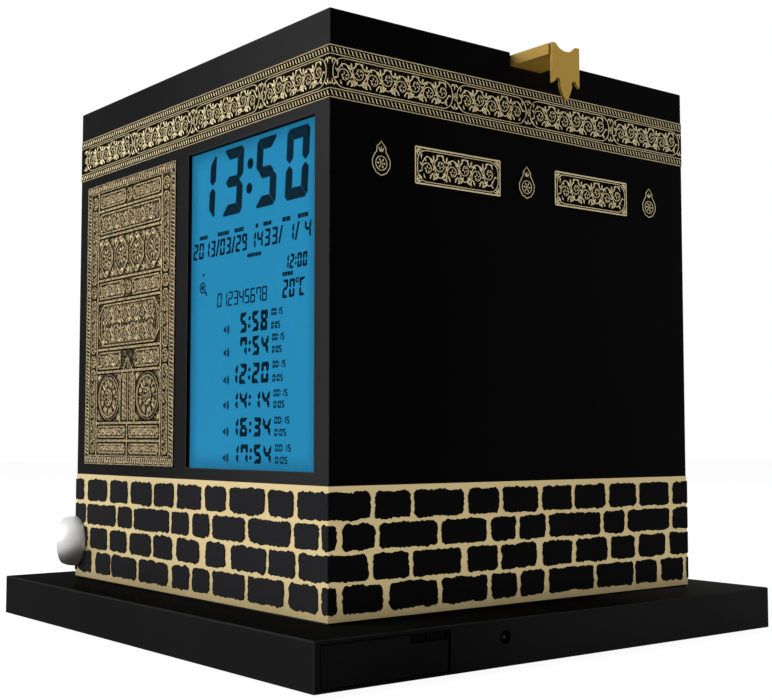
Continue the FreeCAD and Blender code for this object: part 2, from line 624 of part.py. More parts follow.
def make_display_frame():
    """The moulded frame that clamps the display stack to the front wall and carries the main board."""
    body = new_body("display_frame")
    sketch = new_sketch(body, "XZ", "face_inside")
    rectangle(sketch, "window_x - seat_x - frame_rim", "window_x + seat_x + frame_rim",
              "window_z - seat_z - frame_rim", "window_z + seat_z + frame_rim")
    pad(sketch, "frame_rear - face_inside", True)
    sketch = new_sketch(body, "XZ", "face_inside")
    rectangle(sketch, "window_x - seat_x", "window_x + seat_x", "window_z - seat_z", "window_z + seat_z")
    pocket(sketch, "frame_floor - face_inside")
    # ears on the posts of the housing
    sketch = new_sketch(body, "XZ", "frame_floor")
    for side in ("-", "+"):
        for up in ("-", "+"):
            spot = f"window_x {side} ear_x"
            rectangle(sketch, f"{spot} - ear_reach/2", f"{spot} + ear_reach/2",
                      f"window_z {up} (seat_z + frame_rim/2)", f"window_z {up} (ear_z + ear_reach/2)")
    pad(sketch, "frame_back", True)
    sketch = new_sketch(body, "XZ", "frame_floor")
    four_corners(sketch, "ear_x", "ear_z", "screw_hole + 0.2", "window_x", "window_z")
    pocket(sketch, "frame_back")
    # slots that the contact strips pass through, then the posts for the board
    sketch = new_sketch(body, "XZ", "frame_floor")
    for up in ("-", "+"):
        middle = f"window_z {up} (seat_z - lens_gap - guide_ledge/2)"
        rectangle(sketch, "window_x - zebra_width/2 - 0.2", "window_x + zebra_width/2 + 0.2",
                  f"{middle} - zebra_thick/2 - 0.2", f"{middle} + zebra_thick/2 + 0.2")
    pocket(sketch, "frame_back")
    sketch = new_sketch(body, "XZ", "frame_rear")
    four_corners(sketch, "board_post_x", "board_post_z", "post_radius", "window_x", "window_z")
    pad(sketch, "board_gap", True)
    sketch = new_sketch(body, "XZ", "board_front")
    four_corners(sketch, "board_post_x", "board_post_z", "screw_hole", "window_x", "window_z")
    pocket(sketch, "board_gap", True)
    return body


def make_display_screws():
    places = [(side, up) for side in "-+" for up in "-+"]
    ears = [screw(f"ear_screw_{n}", (f"window_x {side} ear_x", "frame_rear", f"window_z {up} ear_z"),
                  "y", False, "frame_back + ear_bite") for n, (side, up) in enumerate(places, 1)]
    board = [screw(f"board_screw_{n}", (f"window_x {side} board_post_x", "board_rear",
                                        f"window_z {up} board_post_z"), "y", False,
                   "board_thick + board_gap - 0.2") for n, (side, up) in enumerate(places, 1)]
    return [group("frame_screws", ears), group("board_screws", board)]


def make_main_board():
    board = box("main_board_blank", ("window_x - board_width/2", "board_front", "window_z - seat_z"),
                ("window_x + board_width/2", "board_rear", "window_z + seat_z"))
    holes = [rod(f"main_board_hole_{side}{up}",
                 (f"window_x {sign} board_post_x", "board_front - 1", f"window_z {rise} board_post_z"),
                 "screw_hole + 0.1", "board_thick + 2", "y")
             for side, sign in enumerate("-+") for up, rise in enumerate("-+")]
    board = cut("main_board", board, *holes)
    parts = []
    # name, across from the window's middle, up from it, width, height, thickness
    chips = (("clock_chip", -12, 12, 14, 14, 1.6), ("sound_chip", 12, 14, 10, 8, 1.5),
             ("amplifier_chip", 16, -14, 6, 5, 1.4), ("speaker_plug", 24, -32, 6, 5, 5),
             ("battery_plug", -22, -36, 6, 5, 5), ("drawer_plug", 2, -40, 16, 4, 2.4),
             ("crystal", -24, 30, 8, 3, 2.6))
    for name, across, up, width, height, thick in chips:
        middle_x, middle_z = f"window_x + {across}", f"window_z + {up}"
        parts.append(box(name, (f"{middle_x} - {width}/2", "board_rear", f"{middle_z} - {height}/2"),
                         (f"{middle_x} + {width}/2", f"board_rear + {thick}", f"{middle_z} + {height}/2")))
    for n, (across, up) in enumerate(((26, -6), (26, 6), (-28, -18))):
        parts.append(rod(f"capacitor_{n}", (f"window_x + {across}", "board_rear", f"window_z + {up}"),
                         "3.15", "11", "y"))
    return [board, group("board_parts", parts)]


def make_speaker():
    """Basket, paper cone and magnet, all turned about the speaker's own axis."""
    def turned_piece(label, corners):
        body = new_body(label)
        sketch = new_sketch(body, "XZ")
        outline(sketch, corners)
        feature = body.newObject("PartDesign::Revolution", label + "_turn")
        feature.Profile = sketch
        feature.ReferenceAxis = (sketch, ["V_Axis"])
        feature.Angle = 360
        doc.recompute()
        return body

    def seat(body):
        body.Placement = Placement(Vector(), Rotation(Vector(1, 0, 0), 90))
        bind(body, "Placement.Base.y", "speaker_front")
        bind(body, "Placement.Base.z", "speaker_z")
        return body
    deep = "speaker_depth"
    frame = turned_piece("speaker_frame", [
        ("speaker_radius - 4.5", "0"), ("speaker_radius", "0"), ("speaker_radius", "speaker_flange"),
        ("speaker_radius - 3", "speaker_flange"), ("magnet_radius - 1", f"{deep}"), ("4", deep),
        ("4", f"{deep} - 1.2"), ("magnet_radius - 2", f"{deep} - 1.2")])
    sketch = new_sketch(frame, "XY")
    four_corners(sketch, "speaker_screw", "speaker_screw", "ear_round")
    pad(sketch, "speaker_flange")
    sketch = new_sketch(frame, "XY")
    circle(sketch, "0", "0", "speaker_radius - 4.5")
    pocket(sketch, "speaker_flange", True)
    sketch = new_sketch(frame, "XY")
    four_corners(sketch, "speaker_screw", "speaker_screw", "screw_hole + 0.2")
    pocket(sketch, "speaker_flange", True)
    cone = turned_piece("speaker_cone", [
        ("0", "5.2"), ("5", "6.6"), ("8", f"{deep} - 5"), ("speaker_radius - 7.5", "1.6"),
        ("speaker_radius - 4.6", "0.2"), ("speaker_radius - 4.6", "0.7"), ("speaker_radius - 8.2", "2.6"),
        ("8", f"{deep} - 4"), ("7.4", f"{deep} - 1.2"), ("6.6", f"{deep} - 1.2"), ("6.6", f"{deep} - 5"),
        ("5", "7.4"), ("0", "6")])
    magnet = rod("speaker_magnet", ("0", "speaker_front - speaker_depth - magnet_height", "speaker_z"),
                 "magnet_radius", "magnet_height", "y")
    places = [(side, up) for side in "-+" for up in "-+"]
    screws = group("speaker_screws", [
        screw(f"speaker_screw_{n}", (f"{side} speaker_screw", "speaker_front - speaker_flange",
                                     f"speaker_z {up} speaker_screw"),
              "y", True, "speaker_flange + speaker_bite")
        for n, (side, up) in enumerate(places, 1)])
    return [seat(frame), seat(cone), magnet, screws]


def make_rain_spout():
    body = new_body("rain_spout")
    sketch = new_sketch(body, "YZ", "side - parapet_wall - spout_inside")
    half, wall, top = "spout_width/2", "spout_wall", "roof + spout_rise"
    outline(sketch, [(f"-{half}", "roof"), (half, "roof"), (half, top), (f"{half} - {wall}", top),
                     (f"{half} - {wall}", f"roof + {wall}"), (f"-{half} + {wall}", f"roof + {wall}"),
                     (f"-{half} + {wall}", top), (f"-{half}", top)])
    pad(sketch, "parapet_wall + spout_inside + spout_reach")
    return body


def mirrored_plate(half, thick, across=()):
    """A plate in the yz plane whose outline is the half curves, their mirror image and what joins them."""
    right = [curve.toShape() for curve in half]
    left = [edge.mirror(Vector(), Vector(0, 1, 0)) for edge in right]
    edges = right + left + [curve.toShape() for curve in across]
    face = Part.Face(Part.Wire(Part.__sortEdges__(edges)))
    return face.extrude(Vector(thick, 0, 0))


def make_spout_beard():
    """The plate on the spout's mouth: a dished top edge, two side points and a long tongue."""
    half, top, side, tip = value("beard_width")/2, value("beard_top"), value("beard_side"), value("beard_tip")
    horn, notch = half*0.74, half*0.53

    def at(across, up):
        return Vector(0, across, up)
    dish = Part.Arc(at(-horn, top), at(0, top - value("beard_dip")), at(horn, top))
    right = [
        Part.LineSegment(at(horn, top), at(half, top)),
        Part.LineSegment(at(half, top), at(half, -side)),
        Part.LineSegment(at(half, -side), at(notch + 1.4, 1.0 - side)),
        Part.Arc(at(notch + 1.4, 1.0 - side), at(notch + 0.5, 2.0 - side), at(notch - 0.5, 1.2 - side)),
        Part.Arc(at(notch - 0.5, 1.2 - side), at(notch - 0.7, 0.8 - side), at(notch - 0.5, 0.3 - side)),
        Part.Arc(at(notch - 0.5, 0.3 - side), at(1.8, 2.1 - tip), at(0.55, 0.2 - tip)),
        Part.Arc(at(0.55, 0.2 - tip), at(0.3, 0.05 - tip), at(0, -tip)),
    ]
    item = doc.addObject("Part::Feature", "spout_beard")
    item.Shape = mirrored_plate(right, value("beard_thick"), [dish])
    bind(item, "Placement.Base.x", "side + spout_reach")
    bind(item, "Placement.Base.z", "roof")
    return item


def make_side_panel(label, middle):
    low = "slab_top + panel_bottom"
    return box(label, ("side", f"{middle} - panel_length/2", low),
               ("side + plate_thick", f"{middle} + panel_length/2", f"{low} + panel_height"))


def make_side_drop(label, middle):
    """A hanging drop: a round body under a pointed crown."""
    wide, tall, thick = value("drop_width"), value("drop_height"), value("plate_thick")

    def at(across, up):
        return Vector(0, across*wide/2, up*tall)
    half = [
        Part.Arc(at(0, 0), at(0.62, 0.13), at(0.95, 0.36)),
        Part.Arc(at(0.95, 0.36), at(0.92, 0.55), at(0.55, 0.68)),
        Part.Arc(at(0.55, 0.68), at(0.52, 0.86), at(0, 1)),
    ]
    item = doc.addObject("Part::Feature", label)
    item.Shape = mirrored_plate(half, thick)
    bind(item, "Placement.Base.x", "side")
    bind(item, "Placement.Base.y", middle)
    bind(item, "Placement.Base.z", "slab_top + drop_bottom")
    return item


def make_slab_shell():
    """The base slab: a tray turned upside down, open below, with the drawer's mouth in its right side."""
    body = new_body("slab_shell")
    wide, deep = "slab_width/2", "slab_depth/2"
    sketch = new_sketch(body, "XY", "foot_height")
    rectangle(sketch, f"-{wide}", wide, f"-{deep}", deep)
    pad(sketch, "slab_height")
    round_edges(body, "slab_round", lambda edge: is_upright(edge) or lies_at(edge, body.Shape.BoundBox.ZMax))
    sketch = new_sketch(body, "XY", "foot_height")
    rectangle(sketch, f"-{wide} + slab_wall", f"{wide} - slab_wall", f"-{deep} + slab_wall",
              f"{deep} - slab_wall")
    pocket(sketch, "slab_height - slab_skin", True)
    sketch = new_sketch(body, "XY", "slab_top")
    rectangle(sketch, "-deck_open_x/2", "deck_open_x/2", "deck_open_mid_y - deck_open_y/2",
              "deck_open_mid_y + deck_open_y/2")
    pocket(sketch, "slab_skin")
    sketch = new_sketch(body, "XY", "slab_top")
    four_corners(sketch, "cube_boss_x", "cube_boss_y", "screw_hole + 0.2")
    pocket(sketch, "slab_skin")
    sketch = new_sketch(body, "YZ", "slab_side")
    rectangle(sketch, "drawer_left - drawer_gap", "drawer_right + drawer_groove", "foot_height + drawer_lip",
              "ceiling")
    circle(sketch, "jack_y", "jack_z", "jack_bore")
    pocket(sketch, "slab_wall")
    sketch = new_sketch(body, "XY", "slab_top")
    for across, back in base_screw_places:
        circle(sketch, across, back, "boss_radius")
    pad(sketch, "slab_top - floor_top", True)
    sketch = new_sketch(body, "XY", "floor_top")
    for across, back in base_screw_places:
        circle(sketch, across, back, "screw_hole")
    pocket(sketch, "slab_top - floor_top - 2", True)
    return body


base_screw_places = (
    ("-base_screw_x", "-base_screw_y"), ("0", "-base_screw_y"), ("-base_screw_x", "base_screw_y"),
    ("0", "base_screw_y"), ("base_screw_x", "base_screw_y"), ("base_screw_x", "0"))


def make_base_plate():
    """The floor of the slab, with the battery bay, the drawer's guides and the shelf of the socket."""
    body = new_body("base_plate")
    sketch = new_sketch(body, "XY", "foot_height")
    rectangle(sketch, "-floor_x", "floor_x", "-floor_y", "floor_y")
    pad(sketch, "floor_wall")
    sketch = new_sketch(body, "XY", "floor_top")
    rectangle(sketch, "bay_left - bay_wall", "bay_right + bay_wall", "bay_front - bay_wall",
              "bay_back + bay_wall")
    pad(sketch, "bay_ceiling + bay_wall - floor_top")
    sketch = new_sketch(body, "XY", "floor_top")
    rectangle(sketch, "bay_left", "bay_right", "bay_front", "bay_back")
    pocket(sketch, "bay_ceiling - floor_top", True)
    sketch = new_sketch(body, "XY", "foot_height")
    rectangle(sketch, "bay_left", "bay_right", "bay_front", "cover_back")
    pocket(sketch, "floor_wall", True)
    sketch = new_sketch(body, "XY", "foot_height")
    rectangle(sketch, "bay_left - cover_ledge", "bay_right + cover_ledge", "bay_front - cover_ledge",
              "cover_back")
    pocket(sketch, "cover_thick", True)
    sketch = new_sketch(body, "XY", "foot_height")
    rectangle(sketch, "bay_mid_x - latch_width/2", "bay_mid_x + latch_width/2",
              "bay_front - cover_ledge - latch_depth", "bay_front - cover_ledge")
    pocket(sketch, "cover_thick", True)
    # guides of the drawer, and a shelf under the socket
    sketch = new_sketch(body, "XY", "floor_top")
    outline(sketch, [
        ("drawer_rear - drawer_gap - runner_wall", "drawer_left + 6"),
        ("drawer_rear - drawer_gap", "drawer_left + 6"),
        ("drawer_rear - drawer_gap", "drawer_right + drawer_gap"),
        ("floor_x - 2", "drawer_right + drawer_gap"),
        ("floor_x - 2", "drawer_right + drawer_gap + runner_wall"),
        ("drawer_rear - drawer_gap - runner_wall", "drawer_right + drawer_gap + runner_wall")])
    pad(sketch, "ceiling - fit_gap - floor_top")
    sketch = new_sketch(body, "XY", "floor_top")
    rectangle(sketch, "slab_side_inside - jack_length", "floor_x", "jack_y - jack_side/2",
              "jack_y + jack_side/2")
    pad(sketch, "jack_z - jack_side/2 - floor_top")
    # seats of the feet, then the screw holes with their sunk heads
    sketch = new_sketch(body, "XY", "foot_height")
    four_corners(sketch, "foot_x", "foot_y", "foot_radius + 0.1")
    pocket(sketch, "foot_seat", True)
    sketch = new_sketch(body, "XY", "foot_height")
    for across, back in base_screw_places:
        circle(sketch, across, back, "screw_head_radius + 0.3")
    pocket(sketch, "screw_head_height", True)
    sketch = new_sketch(body, "XY", "foot_height")
    for across, back in base_screw_places:
        circle(sketch, across, back, "screw_hole + 0.2")
    pocket(sketch, "floor_wall", True)
    return body


def make_base_screws():
    return group("base_screws", [
        screw(f"base_screw_{n}", (across, back, "foot_height + screw_head_height"), "z", True,
              "floor_wall - screw_head_height + base_bite")
        for n, (across, back) in enumerate(base_screw_places, 1)])


def make_foot(label, side, back):
    item = doc.addObject("Part::Cone", label)
    bind(item, "Radius1", "foot_radius - 0.8")
    bind(item, "Radius2", "foot_radius")
    bind(item, "Height", "foot_height + foot_seat")
    bind(item, "Placement.Base.x", f"{side} foot_x")
    bind(item, "Placement.Base.y", f"{back} foot_y")
    return item


def coil_spring(label, radius, height, turns, wire):
    """A wire carried up a many-sided helix about z, square to the path at each corner."""
    sides = 14
    nodes = []
    for step in range(sides*turns + 1):
        turn = 2*math.pi*step/sides
        nodes.append(Vector(radius*math.cos(turn), radius*math.sin(turn), height*step/(sides*turns)))
    path = doc.addObject("Part::Polygon", label + "_path")
    path.Nodes = nodes
    path.Close = False
    ring = doc.addObject("Part::RegularPolygon", label + "_wire")
    ring.Polygon = 6
    bind(ring, "Circumradius", f"{wire}/2")
    ring.Placement = Placement(nodes[0], Rotation(Vector(0, 0, 1), nodes[1] - nodes[0]))
    doc.recompute()
    spring = doc.addObject("Part::Sweep", label)
    spring.Sections = [ring]
    spring.Spine = (path, [])
    spring.Solid = True
    spring.Frenet = False
    spring.Transition = "Right corner"
    return spring


def make_battery():
    cells, springs, contacts = [], [], []
    for n in range(3):
        middle = f"bay_mid_x + cell_pitch*{n - 1}"
        nub_at_back = n != 1
        start = ("bay_front + bay_spring - contact_thick" if nub_at_back
                 else "bay_front + contact_thick + cell_nub")
        can = rod(f"cell_can_{n}", (middle, start, "cell_z"), "cell_radius", "cell_length", "y")
        nub_start = f"{start} + cell_length" if nub_at_back else "bay_front + contact_thick"
        nub = rod(f"cell_nub_{n}", (middle, nub_start, "cell_z"), "cell_nub_radius", "cell_nub", "y")
        cells.append(fuse(f"cell_{n}", can, nub))
        free = value("bay_spring") - value("contact_thick")*2 - value("contact_wire")
        spring = coil_spring(f"contact_spring_{n}", value("contact_coil_radius"), free, 3, "contact_wire")
        spring.Placement = Placement(Vector(), turned["y"])
        bind(spring, "Placement.Base.x", middle)
        bind(spring, "Placement.Base.y", "bay_front + contact_thick + contact_wire/2" if nub_at_back
             else "bay_back - bay_spring + contact_thick + contact_wire/2")
        bind(spring, "Placement.Base.z", "cell_z")
        springs.append(spring)
        for end, low in (("front", "bay_front"), ("back", "bay_back - contact_thick")):
            contacts.append(box(f"contact_{end}_{n}",
                                (f"{middle} - contact_side/2", low, "cell_z - contact_side/2"),
                                (f"{middle} + contact_side/2", f"{low} + contact_thick",
                                 "cell_z + contact_side/2")))
    return [group("battery_cells", cells), group("battery_springs", springs),
            group("battery_contacts", contacts)]


def make_battery_cover():
    """A snap-in cover: it swings down about the edge that carries its two tabs, then lifts away."""
    body = new_body("battery_cover")
    left, right = "bay_left - cover_ledge + cover_gap", "bay_right + cover_ledge - cover_gap"
    front, back = "bay_front - cover_ledge + cover_gap", "cover_back - cover_gap"
    sketch = new_sketch(body, "XY", "foot_height")
    rectangle(sketch, left, right, front, back)
    pad(sketch, "cover_thick")
    top = "foot_height + cover_thick"
    sketch = new_sketch(body, "XY", top)
    for side in ("-", "+"):
        spot = f"bay_mid_x {side} cell_pitch/2"
        rectangle(sketch, f"{spot} - tab_width/2", f"{spot} + tab_width/2", f"{back} - 2", back)
    pad(sketch, f"floor_top + tab_clear + tab_thick - ({top})")
    sketch = new_sketch(body, "XY", "floor_top + tab_clear")
    for side in ("-", "+"):
        spot = f"bay_mid_x {side} cell_pitch/2"
        rectangle(sketch, f"{spot} - tab_width/2", f"{spot} + tab_width/2", f"{back} - 2",
                  "cover_back + tab_reach")
    pad(sketch, "tab_thick")
    # the springy tongue of the latch, between two slits
    sketch = new_sketch(body, "XY", "foot_height")
    for side in ("-", "+"):
        spot = f"bay_mid_x {side} latch_width/2"
        rectangle(sketch, f"{spot} - 0.5", f"{spot} + 0.5", f"{front} - 1", f"{front} + latch_slit")
    pocket(sketch, "cover_thick", True)
    return body


def make_jack():
    start = "slab_side_inside - jack_length"
    shell = box("jack_block", (start, "jack_y - jack_side/2", "jack_z - jack_side/2"),
                ("slab_side_inside", "jack_y + jack_side/2", "jack_z + jack_side/2"))
    bore = rod("jack_bore_tool", ("slab_side_inside - jack_bore_depth", "jack_y", "jack_z"), "jack_bore",
               "jack_bore_depth + 1", "x")
    pin = rod("jack_pin", ("slab_side_inside - jack_bore_depth", "jack_y", "jack_z"), "jack_pin_radius",
              "jack_bore_depth + slab_wall - 0.6", "x")
    return [cut("power_jack", shell, bore), pin]


def key_spot(column, line):
    return f"key_x + key_pitch_x*({column} - 1)", f"drawer_mid + key_pitch_y*({line} - 0.5)"


def make_key_drawer():
    """The pull-out tray that hides the setting keys: front, deck, two runners and a rear wall."""
    body = new_body("key_drawer")
    front_back = "slab_side - slab_wall"
    sketch = new_sketch(body, "YZ", front_back)
    rectangle(sketch, "drawer_left", "drawer_right", "foot_height + drawer_lip + drawer_gap", "drawer_top")
    pad(sketch, "slab_wall")
    sketch = new_sketch(body, "YZ", "slab_side - drawer_front")
    rectangle(sketch, "drawer_left", "drawer_right", "drawer_bottom", "drawer_top")
    pad(sketch, "drawer_front - slab_wall")
    sketch = new_sketch(body, "XY", "drawer_bottom")
    rectangle(sketch, "drawer_rear", "slab_side - drawer_front", "drawer_left", "drawer_right")
    pad(sketch, "deck_top - drawer_bottom")
    sketch = new_sketch(body, "XY", "drawer_bottom")
    rectangle(sketch, "drawer_rear + drawer_wall", "slab_side - drawer_front", "drawer_left + drawer_wall",
              "drawer_right - drawer_wall")
    pocket(sketch, "deck_under - drawer_bottom", True)
    sketch = new_sketch(body, "XY", "deck_top")
    for column in range(3):
        for line in range(2):
            across, back = key_spot(column, line)
            rectangle(sketch, f"{across} - key_length/2 - key_gap", f"{across} + key_length/2 + key_gap",
                      f"{back} - key_width/2 - key_gap", f"{back} + key_width/2 + key_gap")
    pocket(sketch, "drawer_deck")
    # posts for the key board
    sketch = new_sketch(body, "XY", "deck_under")
    for side in ("-", "+"):
        circle(sketch, f"key_x {side} key_pitch_x/2", "drawer_mid", "post_radius")
    pad(sketch, "deck_under - key_board_top", True)
    sketch = new_sketch(body, "XY", "key_board_top")
    for side in ("-", "+"):
        circle(sketch, f"key_x {side} key_pitch_x/2", "drawer_mid", "screw_hole")
    pocket(sketch, "deck_under - key_board_top", True)
    # finger slot in the top of the front, with its grip ribs
    sketch = new_sketch(body, "YZ", "slab_side")
    rectangle(sketch, "drawer_right - grip_width", "drawer_right + 1", "drawer_top - grip_height",
              "drawer_top + 1")
    pocket(sketch, "grip_depth")
    sketch = new_sketch(body, "YZ", "slab_side - grip_depth")
    rectangle(sketch, "drawer_right - rib_pitch", "drawer_right - rib_pitch + rib_width",
              "drawer_top - grip_height", "drawer_top")
    rib = pad(sketch, "rib_depth")
    pattern = row_of(rib, sketch, "H_Axis", "rib_pitch", "rib_count")
    pattern.Reversed = True
    return body


def make_key_board():
    edge = "(drawer_wall + key_board_margin)"
    board = box("key_board_blank", ("drawer_rear + " + edge, "drawer_left + " + edge, "key_board_under"),
                ("slab_side - drawer_front - key_board_margin", "drawer_right - " + edge, "key_board_top"))
    holes = [rod(f"key_board_hole_{n}", (f"key_x {side} key_pitch_x/2", "drawer_mid", "key_board_under - 1"),
                 "screw_hole + 0.1", "key_board_thick + 2") for n, side in enumerate("-+")]
    screws = [screw(f"drawer_screw_{n}", (f"key_x {side} key_pitch_x/2", "drawer_mid", "key_board_under"),
                    "z", True, "key_board_thick + 1.8") for n, side in enumerate("-+")]
    return [cut("key_board", board, *holes), group("drawer_screws", screws)]


def make_key(label, column, line):
    """A rubber key: a flange under the deck and a rounded top that stands through it."""
    across, back = key_spot(column, line)
    body = new_body(label)
    sketch = new_sketch(body, "XY", "key_under")
    rectangle(sketch, f"{across} - key_length/2", f"{across} + key_length/2", f"{back} - key_width/2",
              f"{back} + key_width/2")
    pad(sketch, "key_top - (key_under)")
    round_edges(body, "key_round", lambda edge: is_upright(edge))
    sketch = new_sketch(body, "XY", "key_under")
    rectangle(sketch, f"{across} - key_length/2 - key_flange", f"{across} + key_length/2 + key_flange",
              f"{back} - key_width/2 - key_flange", f"{back} + key_width/2 + key_flange")
    pad(sketch, "key_flange_thick")
    return body


def make_stone_button():
    """A silver ball cut flat at its front, hollowed for the dark stone, on a stem that runs in a collar."""
    ball = doc.addObject("Part::Sphere", "button_ball")
    bind(ball, "Radius", "ball_radius")
    bind(ball, "Placement.Base.z", "-ball_out")
    slice_of = rod("button_slice", ("0", "0", "-ball_face"), "ball_radius + 1", "ball_face + ball_back")
    drum = doc.addObject("Part::MultiCommon", "button_drum")
    drum.Shapes = [ball, slice_of]
    stem = rod("button_stem", ("0", "0", "0"), "stem_radius", "stem_end")
    sink = rod("button_sink", ("0", "0", "-ball_face - 1"), "stone_radius", "stone_sink + 1")
    button = cut("stone_button", fuse("button_blank", drum, stem), sink)
    dome = doc.addObject("Part::Sphere", "stone_dome")
    bind(dome, "Radius", "stone_dome_radius")
    bind(dome, "Placement.Base.z", "stone_dome_radius - ball_face - stone_proud")
    core = rod("stone_core", ("0", "0", "-ball_face - 3"), "stone_radius - 0.05", "stone_sink + 3")
    stone = doc.addObject("Part::MultiCommon", "dark_stone")
    stone.Shapes = [dome, core]
    return [along_diagonal(button, "0"), along_diagonal(stone, "0")]


def wall_to_wall(label, start, thick, half_height):
    """A plate across the front left corner, square to the button's axis, that seats on both walls."""
    near = f"(({start})*1.41421356 - cube_wall*2)"
    far = f"({near} + ({thick})*1.41421356)"
    corner_x, corner_y = "-side + cube_wall", "face_inside"
    body = new_body(label)
    sketch = new_sketch(body, "XY", f"ball_z - {half_height}")
    outline(sketch, [(corner_x, f"{corner_y} + {near}"), (f"{corner_x} + {near}", corner_y),
                     (f"{corner_x} + {far}", corner_y), (corner_x, f"{corner_y} + {far}")])
    pad(sketch, f"2*{half_height}")
    return body


def make_button_inside():
    plate = wall_to_wall("collar_plate_blank", "collar_start", "collar_plate", "collar_half")
    tube = along_diagonal(rod("collar_tube", ("0", "0", "0"), "collar_radius", "collar_length"),
                          "collar_start")
    bore = along_diagonal(rod("collar_bore", ("0", "0", "0"), "stem_radius + stem_gap", "collar_length + 2"),
                          "collar_start - 1")
    collar = cut("button_collar", fuse("collar_blank", plate, tube), bore)
    board = wall_to_wall("button_board", "stem_end + press_gap + switch_depth", "board_thick", "collar_half")
    case = doc.addObject("Part::Box", "switch_case")
    bind(case, "Length", "switch_side")
    bind(case, "Width", "switch_side")
    bind(case, "Height", "switch_depth - 1")
    bind(case, "Placement.Base.x", "-switch_side/2")
    bind(case, "Placement.Base.y", "-switch_side/2")
    bind(case, "Placement.Base.z", "1")
    tip = rod("switch_tip", ("0", "0", "0"), "1.75", "1.5")
    switch = along_diagonal(fuse("button_switch", case, tip), "stem_end + press_gap")
    free = value("collar_start") - value("ball_back") - value("press_gap") - value("coil_wire")
    spring = coil_spring("button_spring", value("coil_radius"), free, round(value("coil_turns")), "coil_wire")
    spring = along_diagonal(spring, "ball_back + press_gap + coil_wire/2")
    return [collar, board, switch, spring]


keep(make_cube_housing())
keep(make_cube_screws())
keep(make_stone_band())
keep(make_belt("belt_front", "-side", "side", "face", "face + belt_thick"))
keep(make_belt("belt_back", "-side", "side", "-face - belt_thick", "-face"))
keep(make_belt("belt_right", "side - belt_thick", "side", "face + belt_thick", "-face - belt_thick"))
keep(make_belt("belt_left", "-side", "-side + belt_thick", "face + belt_thick", "-face - belt_thick"))
keep(make_door_relief())
for made in make_display():
    keep(made)
keep(make_display_frame())
for made in make_display_screws() + make_main_board() + make_speaker():
    keep(made)
keep(make_rain_spout())
keep(make_spout_beard())
keep(make_side_panel("side_panel_front", "-panel_mid_front"))
keep(make_side_panel("side_panel_rear", "panel_mid_rear"))
keep(make_side_drop("side_drop_front", "-drop_pitch"))
keep(make_side_drop("side_drop_middle", "0"))
keep(make_side_drop("side_drop_rear", "drop_pitch"))
keep(make_slab_shell())
keep(make_base_plate())
keep(make_base_screws())
keep(make_foot("foot_front_left", "-", "-"))
keep(make_foot("foot_front_right", "", "-"))
keep(make_foot("foot_rear_left", "-", ""))
keep(make_foot("foot_rear_right", "", ""))
for made in make_battery():
    keep(made)
keep(make_battery_cover())
for made in make_jack():
    keep(made)
keep(make_key_drawer())
for made in make_key_board():
    keep(made)
key_names = (("set_key", 0, 0), ("mode_key", 0, 1), ("down_key", 1, 0), ("up_key", 1, 1), ("city_key", 2, 0),
             ("alarm_key", 2, 1))
for label, column, line in key_names:
    keep(make_key(label, column, line))
for made in make_stone_button() + make_button_inside():
    keep(made)

doc.recompute()
for item in doc.Objects:
    if "Invalid" in item.State or "Error" in item.State:
        raise RuntimeError(f"{item.Name} failed: {item.State}")
for item in kept:
    if item.Shape.isNull() or not item.Shape.isValid() or not item.Shape.Solids:
        raise RuntimeError(f"{item.Label} has no valid solid")
for item in kept:
    item.Shape.exportStep(f"parts/{item.Label}.step")
print(len(kept), "pieces,", sum(len(item.Shape.Solids) for item in kept), "solids")
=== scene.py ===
import json
import math

import bpy
import numpy as np
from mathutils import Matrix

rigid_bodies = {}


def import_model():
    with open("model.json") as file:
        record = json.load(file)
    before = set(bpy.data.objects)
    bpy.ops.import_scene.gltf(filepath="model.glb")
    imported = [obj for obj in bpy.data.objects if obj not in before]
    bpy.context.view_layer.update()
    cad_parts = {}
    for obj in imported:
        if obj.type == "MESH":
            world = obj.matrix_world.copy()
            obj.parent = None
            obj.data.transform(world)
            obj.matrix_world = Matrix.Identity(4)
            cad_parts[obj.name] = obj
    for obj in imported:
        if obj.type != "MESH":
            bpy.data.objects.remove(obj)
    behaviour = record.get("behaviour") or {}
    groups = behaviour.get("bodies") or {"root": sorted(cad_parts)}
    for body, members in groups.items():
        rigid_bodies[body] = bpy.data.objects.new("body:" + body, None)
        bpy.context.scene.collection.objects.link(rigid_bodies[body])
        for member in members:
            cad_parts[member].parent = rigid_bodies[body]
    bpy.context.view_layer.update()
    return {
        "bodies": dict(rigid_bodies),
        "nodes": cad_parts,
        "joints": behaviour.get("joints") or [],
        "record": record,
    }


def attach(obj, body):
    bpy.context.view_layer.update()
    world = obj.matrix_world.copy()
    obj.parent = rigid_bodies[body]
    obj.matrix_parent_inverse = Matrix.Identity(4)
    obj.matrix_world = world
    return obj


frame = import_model()
nodes = frame["nodes"]
print("frame loaded:", len(nodes), "nodes")


view = {
    "place": (0.3875046, -0.2997353, 0.0694353), "lens": 60.687, "sensor": 36, "nearest": 0.01,
    "pitch": 93.789, "turn": 51.662,                # degrees from straight down, and round the upright
}
lamps = {
    "keyLamp": {"place": (-0.42, -1.25, 0.75), "aim": (0, 0, 0.08), "size": 0.9, "power": 16},
    "topLamp": {"place": (0.1, 0.1, 1.3), "aim": (0, 0, 0.1), "size": 1.0, "power": 2},
}
room = {"half": 3.0, "tone": 0.3, "glow": 0.945, "ambient": 0.07}


def addToScene(name, data, place=(0, 0, 0)):
    item = bpy.data.objects.new(name, data)
    item.location = place
    bpy.context.scene.collection.objects.link(item)
    return item


def colour(tone):
    # a grey given as one number or a colour given as three, with its alpha
    return ((tone,)*3 if isinstance(tone, (int, float)) else tuple(tone)) + (1,)


